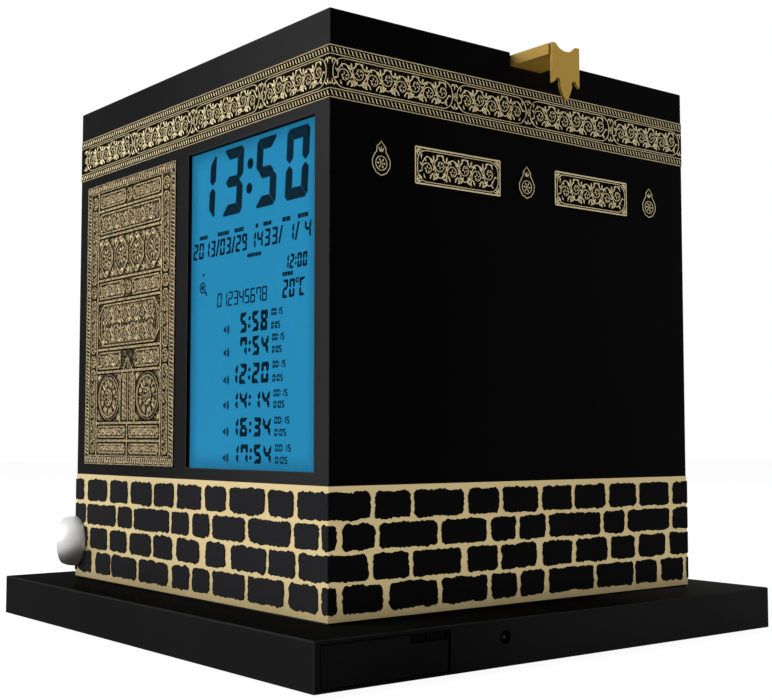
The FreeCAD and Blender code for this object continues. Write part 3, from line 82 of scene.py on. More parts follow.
def feed(tree, socket, value):
    # a value is set on the socket, and another node's output is linked to it
    if isinstance(value, bpy.types.NodeSocket):
        tree.links.new(value, socket)
    else:
        socket.default_value = value


def addNode(tree, kind, inputs=None, **settings):
    # a shader node with its settings and inputs; what comes back is its outputs
    node = tree.nodes.new("ShaderNode" + kind)
    for label, value in settings.items():
        setattr(node, label, value)
    for label, value in (inputs or {}).items():
        feed(tree, node.inputs[label], value)
    return node.outputs


def calc(tree, operation, *values):
    return addNode(tree, "Math", dict(enumerate(values)), operation=operation)[0]


def vectorCalc(tree, operation, *values):
    return addNode(tree, "VectorMath", dict(enumerate(values)), operation=operation)


def mapRange(tree, value, low, high, toLow=0.0, toHigh=1.0, **settings):
    ends = {"Value": value, "From Min": low, "From Max": high, "To Min": toLow, "To Max": toHigh}
    return addNode(tree, "MapRange", ends, **settings)[0]


def noiseOf(tree, spot, scale, detail, rough=0.55):
    inputs = {"Vector": spot, "Scale": scale, "Detail": detail, "Roughness": rough}
    return addNode(tree, "TexNoise", inputs)["Fac"]


def blend(tree, factor, *ends):
    # the first end where the factor is 0, the second where it is 1
    ends = [end if isinstance(end, bpy.types.NodeSocket) else colour(end) for end in ends]
    inputs = {"Factor": factor, "A": ends[0], "B": ends[1]}
    return addNode(tree, "Mix", inputs, data_type="RGBA")["Result"]


def seenMask(tree):
    # 1 for the rays of the camera, of gloss and of clear parts, 0 for the rest
    path = addNode(tree, "LightPath")
    seen = calc(tree, "MAXIMUM", path["Is Camera Ray"], path["Is Glossy Ray"])
    return calc(tree, "MAXIMUM", seen, path["Is Transmission Ray"])


def makeCamera(spec):
    data = bpy.data.cameras.new("viewCamera")
    data.lens, data.sensor_width, data.clip_start = spec["lens"], spec["sensor"], spec["nearest"]
    camera = addToScene("viewCamera", data, spec["place"])
    camera.rotation_euler = (math.radians(spec["pitch"]), 0, math.radians(spec["turn"]))
    bpy.context.scene.camera = camera


def makeLamp(name, spec):
    data = bpy.data.lights.new(name, "AREA")
    data.shape, data.size, data.energy = "SQUARE", spec["size"], spec["power"]
    lamp = addToScene(name, data, spec["place"])
    away = np.subtract(spec["place"], spec["aim"])
    tilt = math.atan2(math.hypot(away[0], away[1]), away[2])
    lamp.rotation_euler = (tilt, 0, math.atan2(away[0], -away[1]))


def makeWorld(ambient):
    world = bpy.data.worlds.new("studioWorld")
    world.use_nodes = True
    tree = world.node_tree
    tree.nodes.clear()
    soft, white = [addNode(tree, "Background", {"Color": colour(1), "Strength": strength})[0]
                   for strength in (ambient, 1)]
    mix = addNode(tree, "MixShader", {"Fac": seenMask(tree), 1: soft, 2: white})
    addNode(tree, "OutputWorld", {"Surface": mix[0]})
    bpy.context.scene.world = world


def makeFloor(spec):
    half = spec["half"]
    mesh = bpy.data.meshes.new("studioFloor")
    corners = [(-half, -half, 0), (half, -half, 0), (half, half, 0), (-half, half, 0)]
    mesh.from_pydata(corners, [], [(0, 1, 2, 3)])
    floor = addToScene("studioFloor", mesh)
    material = bpy.data.materials.new("paleFloor")
    material.use_nodes = True
    tree = material.node_tree
    tree.nodes.clear()
    base = addNode(tree, "BsdfDiffuse", {"Color": colour(spec["tone"])})
    power = calc(tree, "MULTIPLY", seenMask(tree), spec["glow"])
    glow = addNode(tree, "Emission", {"Color": colour(1), "Strength": power})
    both = addNode(tree, "AddShader", {0: base[0], 1: glow[0]})
    clear = addNode(tree, "BsdfTransparent")
    below = addNode(tree, "NewGeometry")["Backfacing"]
    side = addNode(tree, "MixShader", {"Fac": below, 1: both[0], 2: clear[0]})
    addNode(tree, "OutputMaterial", {"Surface": side[0]})
    mesh.materials.append(material)


makeCamera(view)
for lampName, lampSpec in lamps.items():
    makeLamp(lampName, lampSpec)
makeWorld(room["ambient"])
makeFloor(room)
bpy.context.scene.view_settings.view_transform = "Standard"
print("camera, lamps and floor made")


grainLook = {"broad": 14, "toneEnds": (0.3, 0.7), "scuff": 60, "scuffEnds": (0.56, 0.72), "share": 0.5}
threadLook = {"distortion": 1.6, "patch": 420, "waveShare": 0.45, "patchShare": 0.7}
# noise that breaks up the painted edge highlights
edgeHighlightBreakup = {"patch": 90, "ends": (0.3, 0.6), "least": 0.45}


def newGroup(name, inputs, *outputs):
    # an input without a value is a vector, and all the rest are single numbers
    group = bpy.data.node_groups.new(name, "ShaderNodeTree")
    for label, value in inputs.items():
        kind = "NodeSocketVector" if value is None else "NodeSocketFloat"
        socket = group.interface.new_socket(label, in_out="INPUT", socket_type=kind)
        if value is not None:
            socket.default_value = value
    for label in outputs:
        group.interface.new_socket(label, in_out="OUTPUT", socket_type="NodeSocketFloat")
    return group, group.nodes.new("NodeGroupInput").outputs, group.nodes.new("NodeGroupOutput").inputs


def makeGrainGroup(look):
    # broad tone, fine grain and faint scuffs of a moulded or plated surface
    group, ins, outs = newGroup("surfaceGrain", {"Vector": None, "Grain": 900.0, "Scuffs": 0.3},
                                "Tone", "Gloss", "Height")
    broad = mapRange(group, noiseOf(group, ins["Vector"], look["broad"], 3), *look["toneEnds"])
    fine = noiseOf(group, ins["Vector"], ins["Grain"], 4, 0.6)
    worn = mapRange(group, noiseOf(group, ins["Vector"], look["scuff"], 8, 0.72), *look["scuffEnds"])
    halves = [calc(group, "MULTIPLY", part, look["share"]) for part in (fine, broad)]
    tone = calc(group, "ADD", *halves)
    gloss = calc(group, "ADD", tone, calc(group, "MULTIPLY", worn, ins["Scuffs"]))
    for label, value in (("Tone", tone), ("Gloss", gloss), ("Height", fine)):
        feed(group, outs[label], value)
    return group


def makeThreadGroup(look):
    # close ridges of laid metal thread, broken up by noise
    group, ins, outs = newGroup("goldThread", {"Vector": None, "Pitch": 3000.0}, "Tone", "Height")
    inputs = {"Vector": ins["Vector"], "Scale": ins["Pitch"], "Distortion": look["distortion"], "Detail": 2}
    settings = {"wave_type": "BANDS", "bands_direction": "DIAGONAL"}
    wave = addNode(group, "TexWave", inputs, **settings)["Fac"]
    patch = noiseOf(group, ins["Vector"], look["patch"], 3)
    tone = calc(group, "ADD", calc(group, "MULTIPLY", wave, look["waveShare"]),
                calc(group, "MULTIPLY", patch, look["patchShare"]))
    feed(group, outs["Tone"], tone)
    feed(group, outs["Height"], wave)
    return group


def makeEdgeGroup(look):
    # a mask for painted highlights: 1 along the edges of a box given by its middle and half sizes, fading
    # over the width, broken by noise
    group, ins, outs = newGroup("edgeShine", {"Vector": None, "Middle": None, "Half": None, "Width": 0.0004},
                                "Mask")
    far = vectorCalc(group, "ABSOLUTE", vectorCalc(group, "SUBTRACT", ins["Vector"], ins["Middle"])[0])[0]
    left = vectorCalc(group, "SUBTRACT", ins["Half"], far)[0]
    apart = addNode(group, "SeparateXYZ", {0: left})
    near = [mapRange(group, calc(group, "DIVIDE", apart[axis], ins["Width"]), 0, 1, 1, 0) for axis in "XYZ"]
    pairs = [calc(group, "MULTIPLY", near[one], near[two]) for one, two in ((0, 1), (1, 2), (0, 2))]
    edge = calc(group, "MAXIMUM", calc(group, "MAXIMUM", pairs[0], pairs[1]), pairs[2])
    patch = noiseOf(group, ins["Vector"], look["patch"], 5, 0.65)
    broken = mapRange(group, patch, *look["ends"], look["least"], 1)
    feed(group, outs["Mask"], calc(group, "MULTIPLY", edge, broken))
    return group


grainGroup = makeGrainGroup(grainLook)
threadGroup = makeThreadGroup(threadLook)
edgeGroup = makeEdgeGroup(edgeHighlightBreakup)


def shaderOf(tree):
    return tree.nodes["Principled BSDF"].inputs


def spotOf(tree):
    # the coordinate node that every finish has
    return next(item for item in tree.nodes if item.type == "TEX_COORD").outputs


def axesOf(tree):
    return addNode(tree, "SeparateXYZ", {0: spotOf(tree)["Object"]})


def farFrom(tree, value, middle):
    return calc(tree, "ABSOLUTE", calc(tree, "SUBTRACT", value, middle))


def layOver(tree, mask, tone):
    # a tone or another colour takes the place of the base colour where the mask is 1
    base = shaderOf(tree)["Base Color"]
    feed(tree, base, blend(tree, mask, base.links[0].from_socket, tone))


def makeFinish(name, spec):
    # dark and light are the two tones that the grain mixes; rough gives the roughness at both ends
    material = bpy.data.materials.new(name)
    material.use_nodes = True
    tree = material.node_tree
    shader = shaderOf(tree)
    inputs = {"Vector": addNode(tree, "TexCoord")["Object"]}
    if "thread" in spec:
        group, gloss, inputs["Pitch"] = threadGroup, "Tone", spec["thread"]
    else:
        group, gloss, inputs["Grain"] = grainGroup, "Gloss", spec["grain"]
        inputs["Scuffs"] = spec.get("scuffs", 0.25)
    grain = addNode(tree, "Group", inputs, node_tree=group)
    feed(tree, shader["Base Color"], blend(tree, grain["Tone"], spec["dark"], spec["light"]))
    feed(tree, shader["Roughness"], mapRange(tree, grain[gloss], 0, 1, *spec["rough"]))
    if "bump" in spec:
        inputs = {"Distance": spec["bump"], "Strength": 0.6, "Height": grain["Height"]}
        feed(tree, shader["Normal"], addNode(tree, "Bump", inputs)[0])
    shader["Metallic"].default_value = spec.get("metal", 0)
    shader["Specular IOR Level"].default_value = spec.get("spec", 0.5)
    material.diffuse_color = colour(spec["light"])
    return material


def tones(dark, light, rough, grain=None, **rest):
    return {"dark": dark, "light": light, "rough": rough, "grain": grain, **rest}


finishes = {name: makeFinish(name, spec) for name, spec in {
    "shellBlack": tones((0.017, 0.017, 0.018), (0.025, 0.025, 0.026), (0.2, 0.34), 700, spec=0.004,
                        bump=2e-5),
    "slabBlack": tones(0.015, 0.021, (0.08, 0.16), 900, spec=1e-5, bump=1e-5),
    "stoneFace": tones((0.011, 0.011, 0.012), (0.026, 0.026, 0.028), (0.3, 0.55), 1600, spec=0.004,
                       bump=8e-5),
    "innerBlack": tones(0.012, (0.026, 0.026, 0.027), (0.5, 0.7), 2400, spec=0.3, bump=6e-5),
    "polishedStone": tones((0.006, 0.005, 0.005), (0.03, 0.022, 0.018), (0.12, 0.3), 260),
    "milkPlastic": tones((0.7, 0.72, 0.72), (0.82, 0.84, 0.84), (0.3, 0.45), 800),
    "footRubber": tones(0.02, 0.05, (0.7, 0.9), 1800, bump=8e-5),
    "keyRubber": tones((0.24, 0.24, 0.25), (0.36, 0.36, 0.37), (0.55, 0.75), 2200, bump=5e-5),
    "stripRubber": tones(0.1, 0.3, (0.5, 0.7), 3000),
    "boardGreen": tones((0.015, 0.1, 0.035), (0.04, 0.2, 0.08), (0.3, 0.5), 1200, bump=3e-5),
    "chipBlack": tones(0.012, 0.03, (0.45, 0.65), 3000, bump=4e-5),
    "conePaper": tones(0.03, (0.08, 0.08, 0.078), (0.8, 0.95), 1500, bump=2e-4),
    "cellSleeve": tones((0.03, 0.08, 0.24), (0.06, 0.15, 0.36), (0.2, 0.35), 500),
    "silverLacquer": tones(0.7, 0.82, (0.44, 0.58), 3200, metal=0.6, bump=2e-5),
    "goldLine": tones((0.285, 0.235, 0.12), (0.715, 0.605, 0.375), (0.34, 0.55), metal=1, thread=900,
                      bump=4e-5),
    "doorLine": tones((0.065, 0.05, 0.027), (0.64, 0.51, 0.305), (0.34, 0.55), metal=1, thread=1300,
                      bump=4e-5),
    "mortarGold": tones((0.59, 0.455, 0.215), (0.78, 0.63, 0.325), (0.34, 0.5), 1500, metal=0.65, bump=3e-5),
    "spoutGold": tones((0.3, 0.185, 0.026), (0.43, 0.27, 0.042), (0.46, 0.62), 1300, metal=0.6, bump=3e-5),
    "zincSteel": tones((0.4, 0.4, 0.41), 0.6, (0.25, 0.45), 1500, metal=1, bump=3e-5),
    "nickel": tones((0.5, 0.48, 0.44), (0.68, 0.66, 0.6), (0.15, 0.3), 1500, metal=1),
    "lacqueredSteel": tones((0.04, 0.04, 0.045), (0.07, 0.07, 0.075), (0.3, 0.45), 900, bump=3e-5),
    "pinSteel": tones(0.05, 0.12, (0.45, 0.65), 2500, spec=0.01),
    "magnetZinc": tones((0.16, 0.16, 0.17), (0.32, 0.32, 0.33), (0.4, 0.6), 700, metal=0.8, bump=5e-5),
    "beltGround": tones((0.003, 0.003, 0.002), (0.009, 0.007, 0.005), (0.4, 0.6), 2200, spec=0.004,
                        bump=5e-5),
    "doorGround": tones((0.006, 0.005, 0.003), (0.03, 0.023, 0.012), (0.35, 0.55), 2200, spec=0.02,
                        bump=8e-5),
    "litDisplay": tones((0.003, 0.02, 0.04), (0.004, 0.03, 0.06), (0.4, 0.5), 1800, spec=0.004),
    "segmentInk": tones((0.001, 0.008, 0.016), (0.002, 0.013, 0.024), (0.5, 0.6), 1500, spec=0.004),
    "clearWindow": tones((0.97, 0.98, 0.99), 1, (0, 0.02), 200, scuffs=0),
}.items()}


# painted light and shade, scaled into the base colour of faces that look one way: the way a face looks, the
# axis, its ends, the tone at both
paintedLightTable = {
    "shellBlack": (((0, -1, 0), "X", (-0.03, 0.083), (0.65, 1.95)),
                   ((1, 0, 0), "Y", (-0.08, 0.08), (0.35, 1.1))),
    "slabBlack": (((0, 0, 1), "Y", (0.02, 0.09), (0.4, 4.8)), ((1, 0, 0), "Y", (-0.06, 0.09), (1.8, 7))),
    "stoneFace": (((0, -1, 0), "X", (-0.08, 0.08), (1.15, 1.35)),
                  ((1, 0, 0), "Y", (-0.08, 0.08), (1.05, 2.2))),
    "spoutGold": (((1, 0, 0), "Z", (0.17, 0.2), (1.3, 1.45)), ((0, -1, 0), "Z", (0.17, 0.2), (0.72, 0.8)),
                  ((0, 0, -1), "X", (0.08, 0.12), (2.2, 2.4))),
}
# painted highlights along the edges of the shell and the slab
paintedEdgeHighlights = {
    "shellBlack": {"middle": (0, 0, 0.1055), "half": (0.083, 0.08, 0.09), "width": 0.0005, "tone": 0.09},
    "slabBlack": {"middle": (0, 0, 0.0), "half": (0.1035, 0.0993, 0.0155), "width": 0.0006, "tone": 0.06},
}
# a painted highlight round the opening in the front wall
paintedRimHighlight = {"field": {"X": (0.0383, 0.0373), "Z": (0.112, 0.0531)}, "front": -0.0799, "width": 0.0004,
           "tone": 0.06}
facing = 0.7                                        # a face counts as looking a way above this cosine


# painted light and shade: the base colour of the faces that look the given way is scaled by a level that runs
# along the axis
def addPaintedLight(tree, way, axis, ends, levels):
    base = shaderOf(tree)["Base Color"]
    looks = vectorCalc(tree, "DOT_PRODUCT", spotOf(tree)["Normal"], way)["Value"]
    level = mapRange(tree, axesOf(tree)[axis], *ends, levels[0] - 1, levels[1] - 1)
    change = calc(tree, "MULTIPLY", calc(tree, "GREATER_THAN", looks, facing), level)
    inputs = {0: base.links[0].from_socket, "Scale": calc(tree, "ADD", change, 1)}
    feed(tree, base, addNode(tree, "VectorMath", inputs, operation="SCALE")["Vector"])


# a painted highlight: a lighter tone laid along the edges of the box
def addPaintedEdgeHighlight(tree, spec):
    inputs = {"Vector": spotOf(tree)["Object"], "Middle": spec["middle"], "Half": spec["half"],
              "Width": spec["width"]}
    edge = addNode(tree, "Group", inputs, node_tree=edgeGroup)
    layOver(tree, edge["Mask"], spec["tone"])


def paintRimHighlight(tree, spec):
    # a painted highlight: the fine light line round the opening in the front wall
    axes = axesOf(tree)
    past = [calc(tree, "SUBTRACT", farFrom(tree, axes[axis], middle), half)
            for axis, (middle, half) in spec["field"].items()]
    near = mapRange(tree, calc(tree, "MAXIMUM", *past), 0, spec["width"], 1, 0)
    ahead = calc(tree, "LESS_THAN", axes["Y"], spec["front"])
    layOver(tree, calc(tree, "MULTIPLY", near, ahead), spec["tone"])


# painted light and shade on the shell, the slab, the stones and the spout
for finishName, paintedLightRows in paintedLightTable.items():
    for paintedLightRow in paintedLightRows:
        addPaintedLight(finishes[finishName].node_tree, *paintedLightRow)
for finishName, edgeHighlightSpec in paintedEdgeHighlights.items():
    addPaintedEdgeHighlight(finishes[finishName].node_tree, edgeHighlightSpec)
paintRimHighlight(finishes["shellBlack"].node_tree, paintedRimHighlight)


groundLook = {
    "beltGround": {"gold": (0.24, 0.19, 0.1), "speck": 1500, "speckFrom": 0.62},
    "doorGround": {"gold": (0.33, 0.258, 0.13), "speck": 1100, "speckFrom": 0.54, "raisedAt": -0.08025,
                   "field": {"X": (-0.04145, 0.03065), "Z": (0.112, 0.0495)}},
}
chaseLook = {"span": 0.06, "finer": 1.7, "ends": (0.42, 0.58), "levels": (0.25, 1.5)}
screenLook = {"low": (0.012, 0.195, 0.36), "high": (0.016, 0.222, 0.415), "cloud": 22, "fade": 0.006,
              "edgeGlow": 0.66, "field": {"X": (0.0375, 0.0366), "Z": (0.1118, 0.0531)}}
lensLook = {"Transmission Weight": 1, "IOR": 1.02}


def addGold(tree, spec, chase):
    # gold specks on a dark ground; what stands nearer than the level, within the field, is chased gold
    spot = spotOf(tree)["Object"]
    speck = noiseOf(tree, spot, spec["speck"], 4, 0.7)
    cover = mapRange(tree, speck, spec["speckFrom"], spec["speckFrom"] + chase["span"])
    if "raisedAt" in spec:
        axes = axesOf(tree)
        raised = calc(tree, "LESS_THAN", axes["Y"], spec["raisedAt"])
        for axis, (middle, reach) in spec["field"].items():
            within = calc(tree, "LESS_THAN", farFrom(tree, axes[axis], middle), reach)
            raised = calc(tree, "MULTIPLY", raised, within)
        cover = calc(tree, "MAXIMUM", cover, raised)
    shade = mapRange(tree, noiseOf(tree, spot, spec["speck"]*chase["finer"], 3, 0.6), *chase["ends"])
    golds = [[level*tone for tone in spec["gold"]] for level in chase["levels"]]
    layOver(tree, cover, blend(tree, shade, *golds))
    feed(tree, shaderOf(tree)["Metallic"], cover)


def addGlow(tree, spec):
    # evenly lit display glass with a faint cloud in the light, darker towards the edge of its field
    shader, axes, inner = shaderOf(tree), axesOf(tree), 1
    cloud = noiseOf(tree, spotOf(tree)["Object"], spec["cloud"], 2)
    feed(tree, shader["Emission Color"], blend(tree, cloud, spec["low"], spec["high"]))
    for axis, (middle, reach) in spec["field"].items():
        level = mapRange(tree, farFrom(tree, axes[axis], middle), reach - spec["fade"], reach, 1, 0,
                         interpolation_type="SMOOTHSTEP")
        inner = calc(tree, "MULTIPLY", inner, level)
    feed(tree, shader["Emission Strength"], mapRange(tree, inner, 0, 1, spec["edgeGlow"], 1))


for groundName, groundSpec in groundLook.items():
    addGold(finishes[groundName].node_tree, groundSpec, chaseLook)
addGlow(finishes["litDisplay"].node_tree, screenLook)
for label, value in lensLook.items():
    shaderOf(finishes["clearWindow"].node_tree)[label].default_value = value

# how the names of the nodes begin that wear each finish; the rest is zinc
dressing = {
    "shellBlack": "cube_housing", "slabBlack": "slab_shell key_drawer", "mortarGold": "stone_band",
    "beltGround": "belt_ side_", "doorGround": "door_relief", "clearWindow": "display_lens",
    "litDisplay": "lcd_panel",
    "milkPlastic": "light_guide backlight_strip", "stripRubber": "zebra_strips",
    "innerBlack": "display_frame base_plate battery_cover power_jack button_collar",
    "boardGreen": "main_board key_board button_board", "chipBlack": "board_parts button_switch",
    "lacqueredSteel": "speaker_frame", "conePaper": "speaker_cone", "magnetZinc": "speaker_magnet",
    "spoutGold": "rain_spout spout_beard", "cellSleeve": "battery_cells", "pinSteel": "jack_pin",
    "nickel": "battery_springs battery_contacts button_spring",
    "silverLacquer": "stone_button", "polishedStone": "dark_stone",
    "footRubber": "foot_", "keyRubber": "set_key mode_key down_key up_key city_key alarm_key",
    "zincSteel": "",
}
for nodeName, node in nodes.items():
    finish = next(name for name, starts in dressing.items() if nodeName.startswith(tuple(starts.split(" "))))
    node.data.materials.clear()
    node.data.materials.append(finishes[finish])
print("finishes made and laid on the nodes")


# each face: the way it looks, its distance from the middle and half its width; all stand on the slab, mm
slabTop = 15.5
faces = {name: {"origin": (x*depth, y*depth, slabTop), "across": (-y, x, 0), "out": (x, y, 0), "half": half}
         for name, x, y, depth, half in (("front", 0, -1, 80, 83), ("right", 1, 0, 83, 80),
                                         ("back", 0, 1, 80, 83), ("left", -1, 0, 83, 80))}


def onFace(points, face):
    # (across, up, out) in mm becomes x, y, z in metres
    spot = np.array(face["origin"], float)
    spot = spot + points[:, :1]*np.array(face["across"], float) + points[:, 1:2]*np.array((0, 0, 1.0))
    return (spot + points[:, 2:3]*np.array(face["out"], float))/1000


def makePiece(name, face, parts, finish, body="clock"):
    # parts are (points, list of face tuples); the faces are renumbered as the points are stacked
    points, polygons, start = [], [], 0
    for spots, shapes in parts:
        points.append(spots)
        polygons += [tuple(corner + start for corner in shape) for shape in shapes]
        start += len(spots)
    mesh = bpy.data.meshes.new(name)
    mesh.from_pydata(onFace(np.vstack(points), face).tolist(), [], polygons)
    mesh.materials.append(finishes[finish])
    mesh.update()
    piece = addToScene(name, mesh)
    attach(piece, body)


def unitAlong(steps):
    return steps/np.maximum(np.hypot(steps[:, 0], steps[:, 1]), 1e-9)[:, None]


def polar(middle, radius, degrees):
    turn = math.radians(degrees)
    return middle[0] + radius*math.cos(turn), middle[1] + radius*math.sin(turn)


def ribbon(path, width, lift):
    # a ridge along the path: its two feet lie half a width to each side at the low end of the lift, its crest
    # runs at the high end and sinks where the width shrinks
    low, high = lift
    path = np.asarray(path, float)
    count = len(path)
    width = np.broadcast_to(width, count)
    along = unitAlong(np.gradient(path, axis=0))
    side = np.column_stack((-along[:, 1], along[:, 0]))*width[:, None]/2
    crest = low + (high - low)*np.minimum(width/max(width.max(), 1e-9)*1.3, 1)
    points = np.zeros((count, 3, 3))
    for index, (spots, level) in enumerate(((path + side, low), (path, crest), (path - side, low))):
        points[:, index, :2], points[:, index, 2] = spots, level
    step = 3*np.arange(count - 1)[:, None]
    strips = np.concatenate([step + np.array(quad) for quad in ((0, 1, 4, 3), (1, 2, 5, 4), (2, 0, 3, 5))])
    last = 3*(count - 1)
    shapes = [tuple(quad) for quad in strips.tolist()] + [(0, 2, 1), (last, last + 1, last + 2)]
    return points.reshape(-1, 3), shapes


def plate(outline, lift, bevel):
    # a flat-topped plate: the outline at low, again just under high, and drawn in by the bevel at high
    low, high = lift
    outline = np.asarray(outline, float)
    count = len(outline)
    along = unitAlong(np.roll(outline, -1, axis=0) - np.roll(outline, 1, axis=0))
    inward = np.column_stack((-along[:, 1], along[:, 0]))
    rings = [(outline, low), (outline, high - bevel), (outline + inward*bevel, high)]
    points = np.vstack([np.column_stack((ring, np.full(count, level))) for ring, level in rings])
    here = np.arange(count)
    there = (here + 1) % count
    shapes = []
    for level in (0, count):
        quads = np.column_stack((here + level, there + level, there + level + count, here + level + count))
        shapes += [tuple(quad) for quad in quads.tolist()]
    return points, shapes + [tuple((here + 2*count).tolist()), tuple(here[::-1].tolist())]


def arcPath(middle, radius, start, end, count=20):
    turn = np.radians(np.linspace(start, end, count))
    return np.column_stack((middle[0] + radius*np.cos(turn), middle[1] + radius*np.sin(turn)))


def ringLine(middle, radius, width, lift, count=28):
    return ribbon(arcPath(middle, radius, 0, 360, count), width, lift)


def straight(start, end, width, lift):
    return ribbon(np.array((start, end), float), width, lift)


def drawnIn(box, aside, upright):
    left, right, bottom, top = box
    return left + aside, right - aside, bottom + upright, top - upright


def boxLine(left, right, bottom, top, width, lift):
    ends = ((left, bottom, right, bottom), (left, top, right, top), (left, bottom, left, top),
            (right, bottom, right, top))
    return [straight(end[:2], end[2:], width, lift) for end in ends]


def roundedLine(left, right, bottom, top, corner, width, lift):
    # the outline of a box whose corners are arcs
    arcs = [arcPath((x, y), corner, start, start + 90, 8) for x, y, start in (
        (right - corner, top - corner, 0), (left + corner, top - corner, 90),
        (left + corner, bottom + corner, 180), (right - corner, bottom + corner, 270))]
    return ribbon(np.vstack(arcs + [arcs[0][:1]]), width, lift)


leafWidths = np.array((0.25, 0.9, 1, 0.75, 0.42, 0.06))
strokeWidths = np.array((0.45, 0.95, 1, 0.95, 0.45))


def leaf(root, heading, length, width, curl, lift):
    # a drop-shaped leaf: widest a third of the way along a curve that bends by curl
    t = np.linspace(0, 1, 6)
    bend = math.radians(heading) + math.radians(curl)*t
    path = np.cumsum(np.column_stack((np.cos(bend), np.sin(bend)))*length/5, axis=0) + np.array(root)
    return ribbon(path, width*leafWidths, lift)


def spray(root, heading, turns, length, width, lift, curl=0):
    # leaves that fan out from one root, round a heading given in degrees or as a way
    if isinstance(heading, tuple):
        heading = math.degrees(math.atan2(heading[1], heading[0]))
    return [leaf(root, heading + turn, length, width, turn*curl, lift) for turn in turns]


def braid(left, right, bottom, top, pitch, width, lift, upright=False):
    # a rope border: slanting strokes with a soft S, one after the other
    span = (top - bottom) if upright else (right - left)
    count = max(2, round(span/pitch))
    step = span/count
    t = np.linspace(0, 1, 5)
    slant = 0.85*step*(0.5 - t) - 0.16*step*np.sin(2*np.pi*t)
    parts = []
    for n in range(count):
        mid = step*(n + 0.5)
        if upright:
            path = np.column_stack((left + (right - left)*t, bottom + mid + slant))
        else:
            path = np.column_stack((left + mid + slant, bottom + (top - bottom)*t))
        parts.append(ribbon(path, width*strokeWidths, lift))
    return parts


vineShape = {
    "wave": 0.36, "reachAcross": 0.46, "reachUp": 0.33, "eyeSink": 0.1, "turns": 1.25, "shrink": 0.8,
    "taper": 0.35, "rim": (-80, -35, 10, 55, 100), "rimAt": 0.98,
    "palmette": (-40, 0, 40), "palmetteAt": 0.17,
    # leaves beside each bend: out from the eye, over or under, heading by bend, side and both, length,
    # width, curl
    "beside": ((0.36, -1, 90, -70, 0, ("step", 0.34), 1.7, 50),
               (0.4, 1, -90, 30, 0, ("tall", 0.22), 1.6, -40),
               (0.14, -1, 90, 0, -40, ("tall", 0.2), 1.5, 30)),
    "besideAt": 0.47,
}


def vine(left, right, bottom, top, pitch, width, lift, shape=vineShape):
    # a scroll: a wavy stem with a spiral shoot under each bend, leaves round it and buds in its eye
    tall, middle = top - bottom, (top + bottom)/2
    cells = max(1, round((right - left)/pitch))
    step = (right - left)/cells
    sizes = {"step": step, "tall": tall}
    wave = np.linspace(0, cells, cells*10 + 1)
    stem = np.column_stack((left + step*wave, middle + shape["wave"]*tall*np.sin(np.pi*wave)))
    parts = [ribbon(stem, width, lift)]
    reach = min(step*shape["reachAcross"], tall*shape["reachUp"])
    t = np.linspace(0, 1, 16)
    for n in range(cells):
        up = 1 if n % 2 == 0 else -1
        eye = (left + step*(n + 0.5), middle - up*shape["eyeSink"]*tall)
        turn = math.radians(180 + 20*up) - up*2*np.pi*shape["turns"]*t
        radius = reach*(1 - shape["shrink"]*t)
        curl = np.column_stack((eye[0] + radius*np.cos(turn), eye[1] + radius*np.sin(turn)))
        parts.append(ribbon(curl, width*(1 - shape["taper"]*t), lift))
        for k in range(5):                          # the bud in the eye
            heading = 72*k + 36 - 18*up
            parts.append(leaf(polar(eye, 0.1*reach, heading), heading, reach*0.42, width*1.1, 30*up, lift))
        for turn in shape["rim"]:
            heading = 90*up + turn*up
            root = polar(eye, reach*shape["rimAt"], heading)
            parts.append(leaf(root, heading + 40*up, reach*0.55, width*1.5, -60*up, lift))
        for side in (-1, 1):
            for out, over, byBend, bySide, byBoth, (size, share), wide, bend in shape["beside"]:
                root = (eye[0] + side*step*out, middle + over*up*shape["besideAt"]*tall)
                heading = byBend*up + bySide*side + byBoth*side*up
                parts.append(leaf(root, heading, sizes[size]*share, width*wide, side*up*bend, lift))
        if n < cells - 1:                           # a palmette on both sides of the stem between two bends
            for rise in (-1, 1):
                root = (left + step*(n + 1), middle + rise*shape["palmetteAt"]*tall)
                parts += spray(root, 90*rise, shape["palmette"], tall*0.24, width*1.4, lift, 0.6)
    return parts


def blossom(middle, radius, petals, width, lift):
    # petals that point outward from the middle, with a small ring at their roots
    parts = [ringLine(middle, radius*0.28, width, lift, 14)]
    for n in range(petals):
        heading = 360*n/petals
        root = polar(middle, radius*0.36, heading)
        parts.append(leaf(root, heading - 12, radius*0.62, width*2, 24, lift))
    return parts


beltLook = {
    "bottom": 153, "top": 169.1, "braidTall": 1.9, "braidPitch": 1.5, "braidLine": 0.46, "line": 0.34,
    "edge": 0.25, "seam": 0.75, "field": 1.5, "vinePitch": 5.6, "vineLine": 0.4, "lift": (-0.02, 0.16),
    "frameIn": (0.9, 0.2), "vineIn": (2.4, 0.7), "flower": (1.3, 5, 0.28),
    "breaks": {                                     # where one cartouche ends and the next begins
        "front": (-79, -39.6, 3.5, 46, 82.2),
        "right": (-79.7, -31.2, 1.1, 41.5, 79.4),
        "back": (-82, -41, 0, 41, 82),
        "left": (-79.2, -39, 1.5, 40, 79.2),
    },
}


